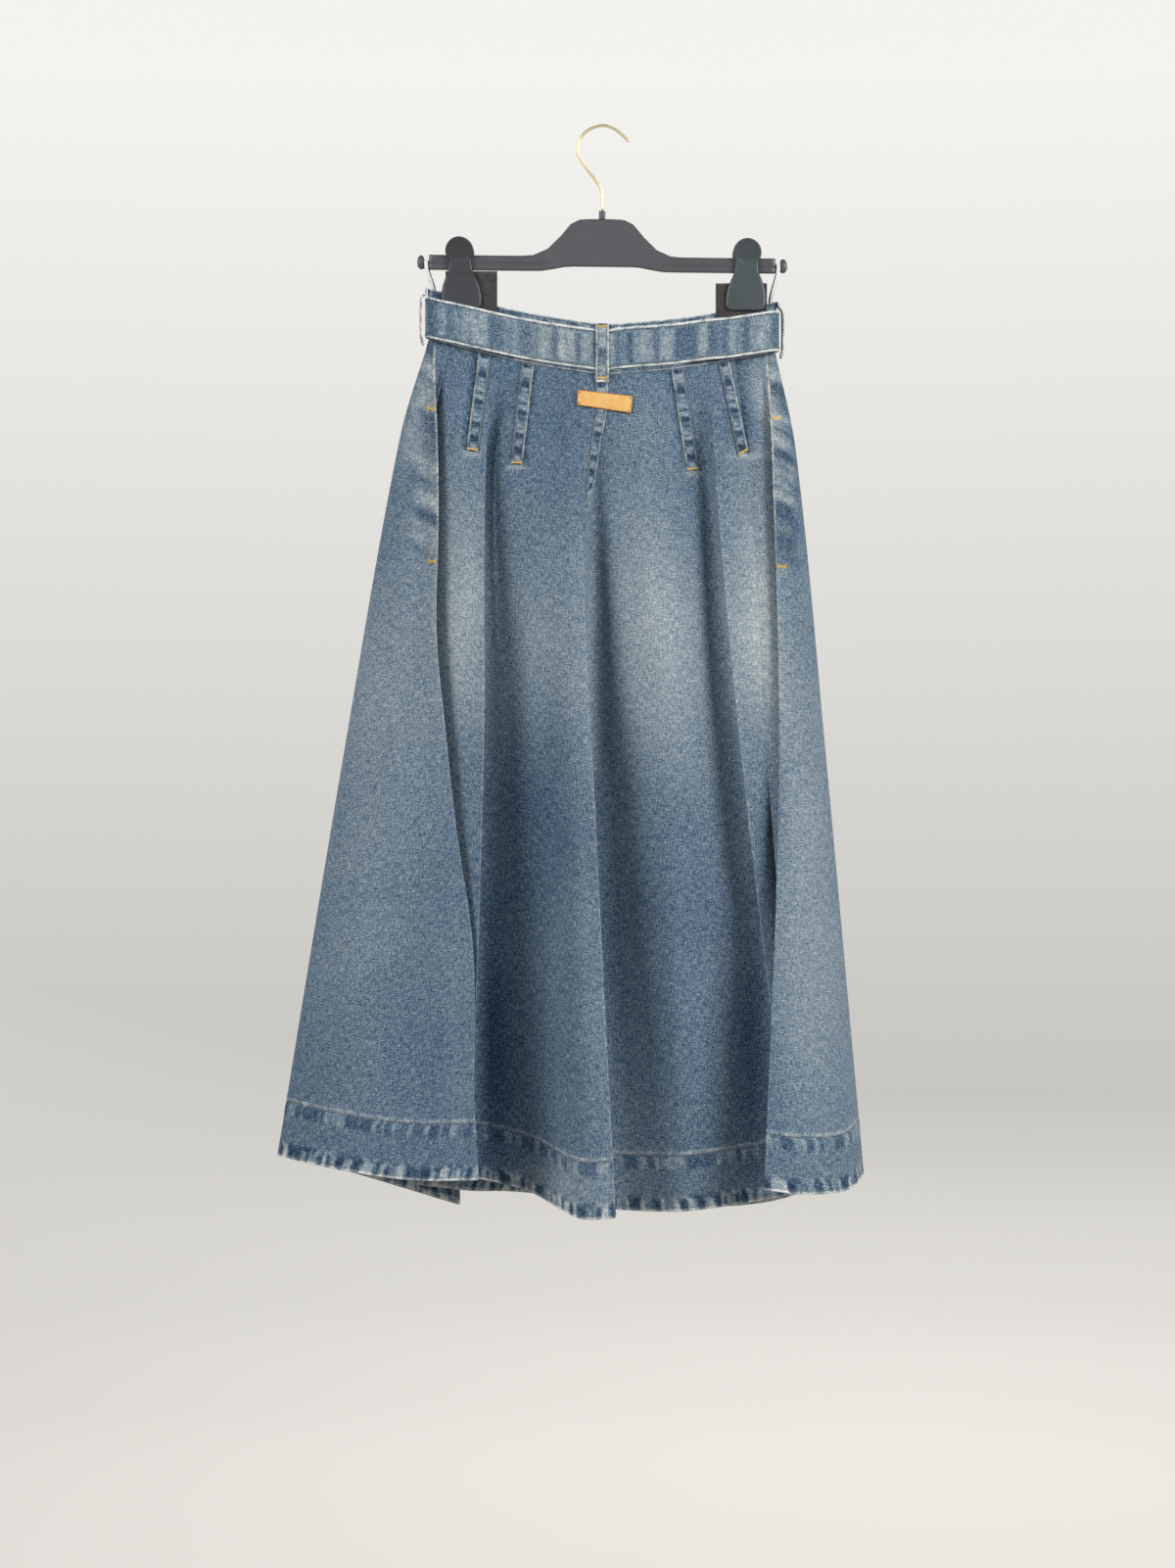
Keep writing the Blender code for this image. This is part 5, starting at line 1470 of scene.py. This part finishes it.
black = ramp(tree, amount, [
    (0.2, (0.018, 0.017, 0.017)), (0.55, (0.040, 0.037, 0.036)), (0.9, (0.085, 0.080, 0.076))])
feed(tree, shader, {"Base Color": black, "Normal": bump(tree, hairs, 0.7, 0.0005), "Roughness": 0.95,
                    "Sheen Weight": 0.3})
for name, from_x, to_x, foot_z, straight_z, top_z, fold_inner, length in PADS:
    profile = [(PAD_INNER, z) for z in np.linspace(foot_z, straight_z, 20)]
    profile += [(fold_inner * cos(turn), top_z - PAD_COVER + (PAD_COVER - PAD_WALL) * sin(turn))
                for turn in np.linspace(0, pi, 17)]
    profile += [(-PAD_INNER, z) for z in np.linspace(straight_z, foot_z, 20)]
    grid = []
    for out, z in profile[::-1]:
        grid.append([(x, -out, z) for x in np.linspace(from_x, to_x, 27)])
    mesh = cloth_mesh(name + "_felt", np.array(grid))
    pad = dress(name + "_felt", mesh, [FELT], [name], PAD_WALL, 1.0)

# ---- Hanging ribbons ----
# A loop of satin tape from inside each end of the waistband, over the notch in the bar's end: the leg
# nearer the eye shows its white face, and the far one its black back.
RIBBON_WIDTH = 3.4
RIBBON_WALL = 0.5
RIBBON_HALF = 3.9           # half the distance between its two legs, at the bar
RIBBON_X = 174.3
SATIN, tree, shader = new_material("satin_ribbon")
threads = maths(tree, "ADD", noise(tree, weave_place(tree), 1500.0, 1.0, stretch=(1.0, 0.1)), 0.5)
feed(tree, shader, {"Base Color": ramp(tree, threads, [(0.2, (0.66, 0.66, 0.67)), (0.8, (0.86, 0.86, 0.87))]),
                    "Roughness": 0.35})
SATIN_BACK = plastic("satin_ribbon_back", (0.02, 0.02, 0.024), (0.05, 0.05, 0.055), 0.45)
for name, side in (("ribbon_left", -1), ("ribbon_right", 1)):
    notch_z = bar_middle(side * RIBBON_X) + 1.9
    low_z = band_top(side * 168) - 14
    profile = [(0.4, low_z), (0.4, low_z + 15), (RIBBON_HALF, notch_z - 18), (RIBBON_HALF, notch_z)]
    profile += [(-out, z) for out, z in reversed(profile)]
    fine = []
    for a, b in zip(profile, profile[1:]):
        fine += [blend(a, b, i / 12) for i in range(12)]
    grid = []
    for out, z in smoothed(fine + [profile[-1]], 2)[::-1]:
        down = (notch_z - z) / (notch_z - low_z)
        centre = side * (RIBBON_X - 7.0 * float(smooth_step(0.1, 0.75, down)))
        centre -= side * 1.2 * float(smooth_step(0.0, 0.3, down)) * (0 if out > 0 else 1)
        grid.append([(centre + RIBBON_WIDTH * t, -out, z) for t in np.linspace(-0.5, 0.5, 7)])
    mesh = cloth_mesh(name + "_tape", np.array(grid))
    ribbon = dress(name + "_tape", mesh, [SATIN, SATIN_BACK], [name], RIBBON_WALL, 1.0)
    for face in mesh.polygons:
        face.material_index = 1 if face.center.y > 0 else 0
    ribbon.modifiers["wall"].material_offset = 0
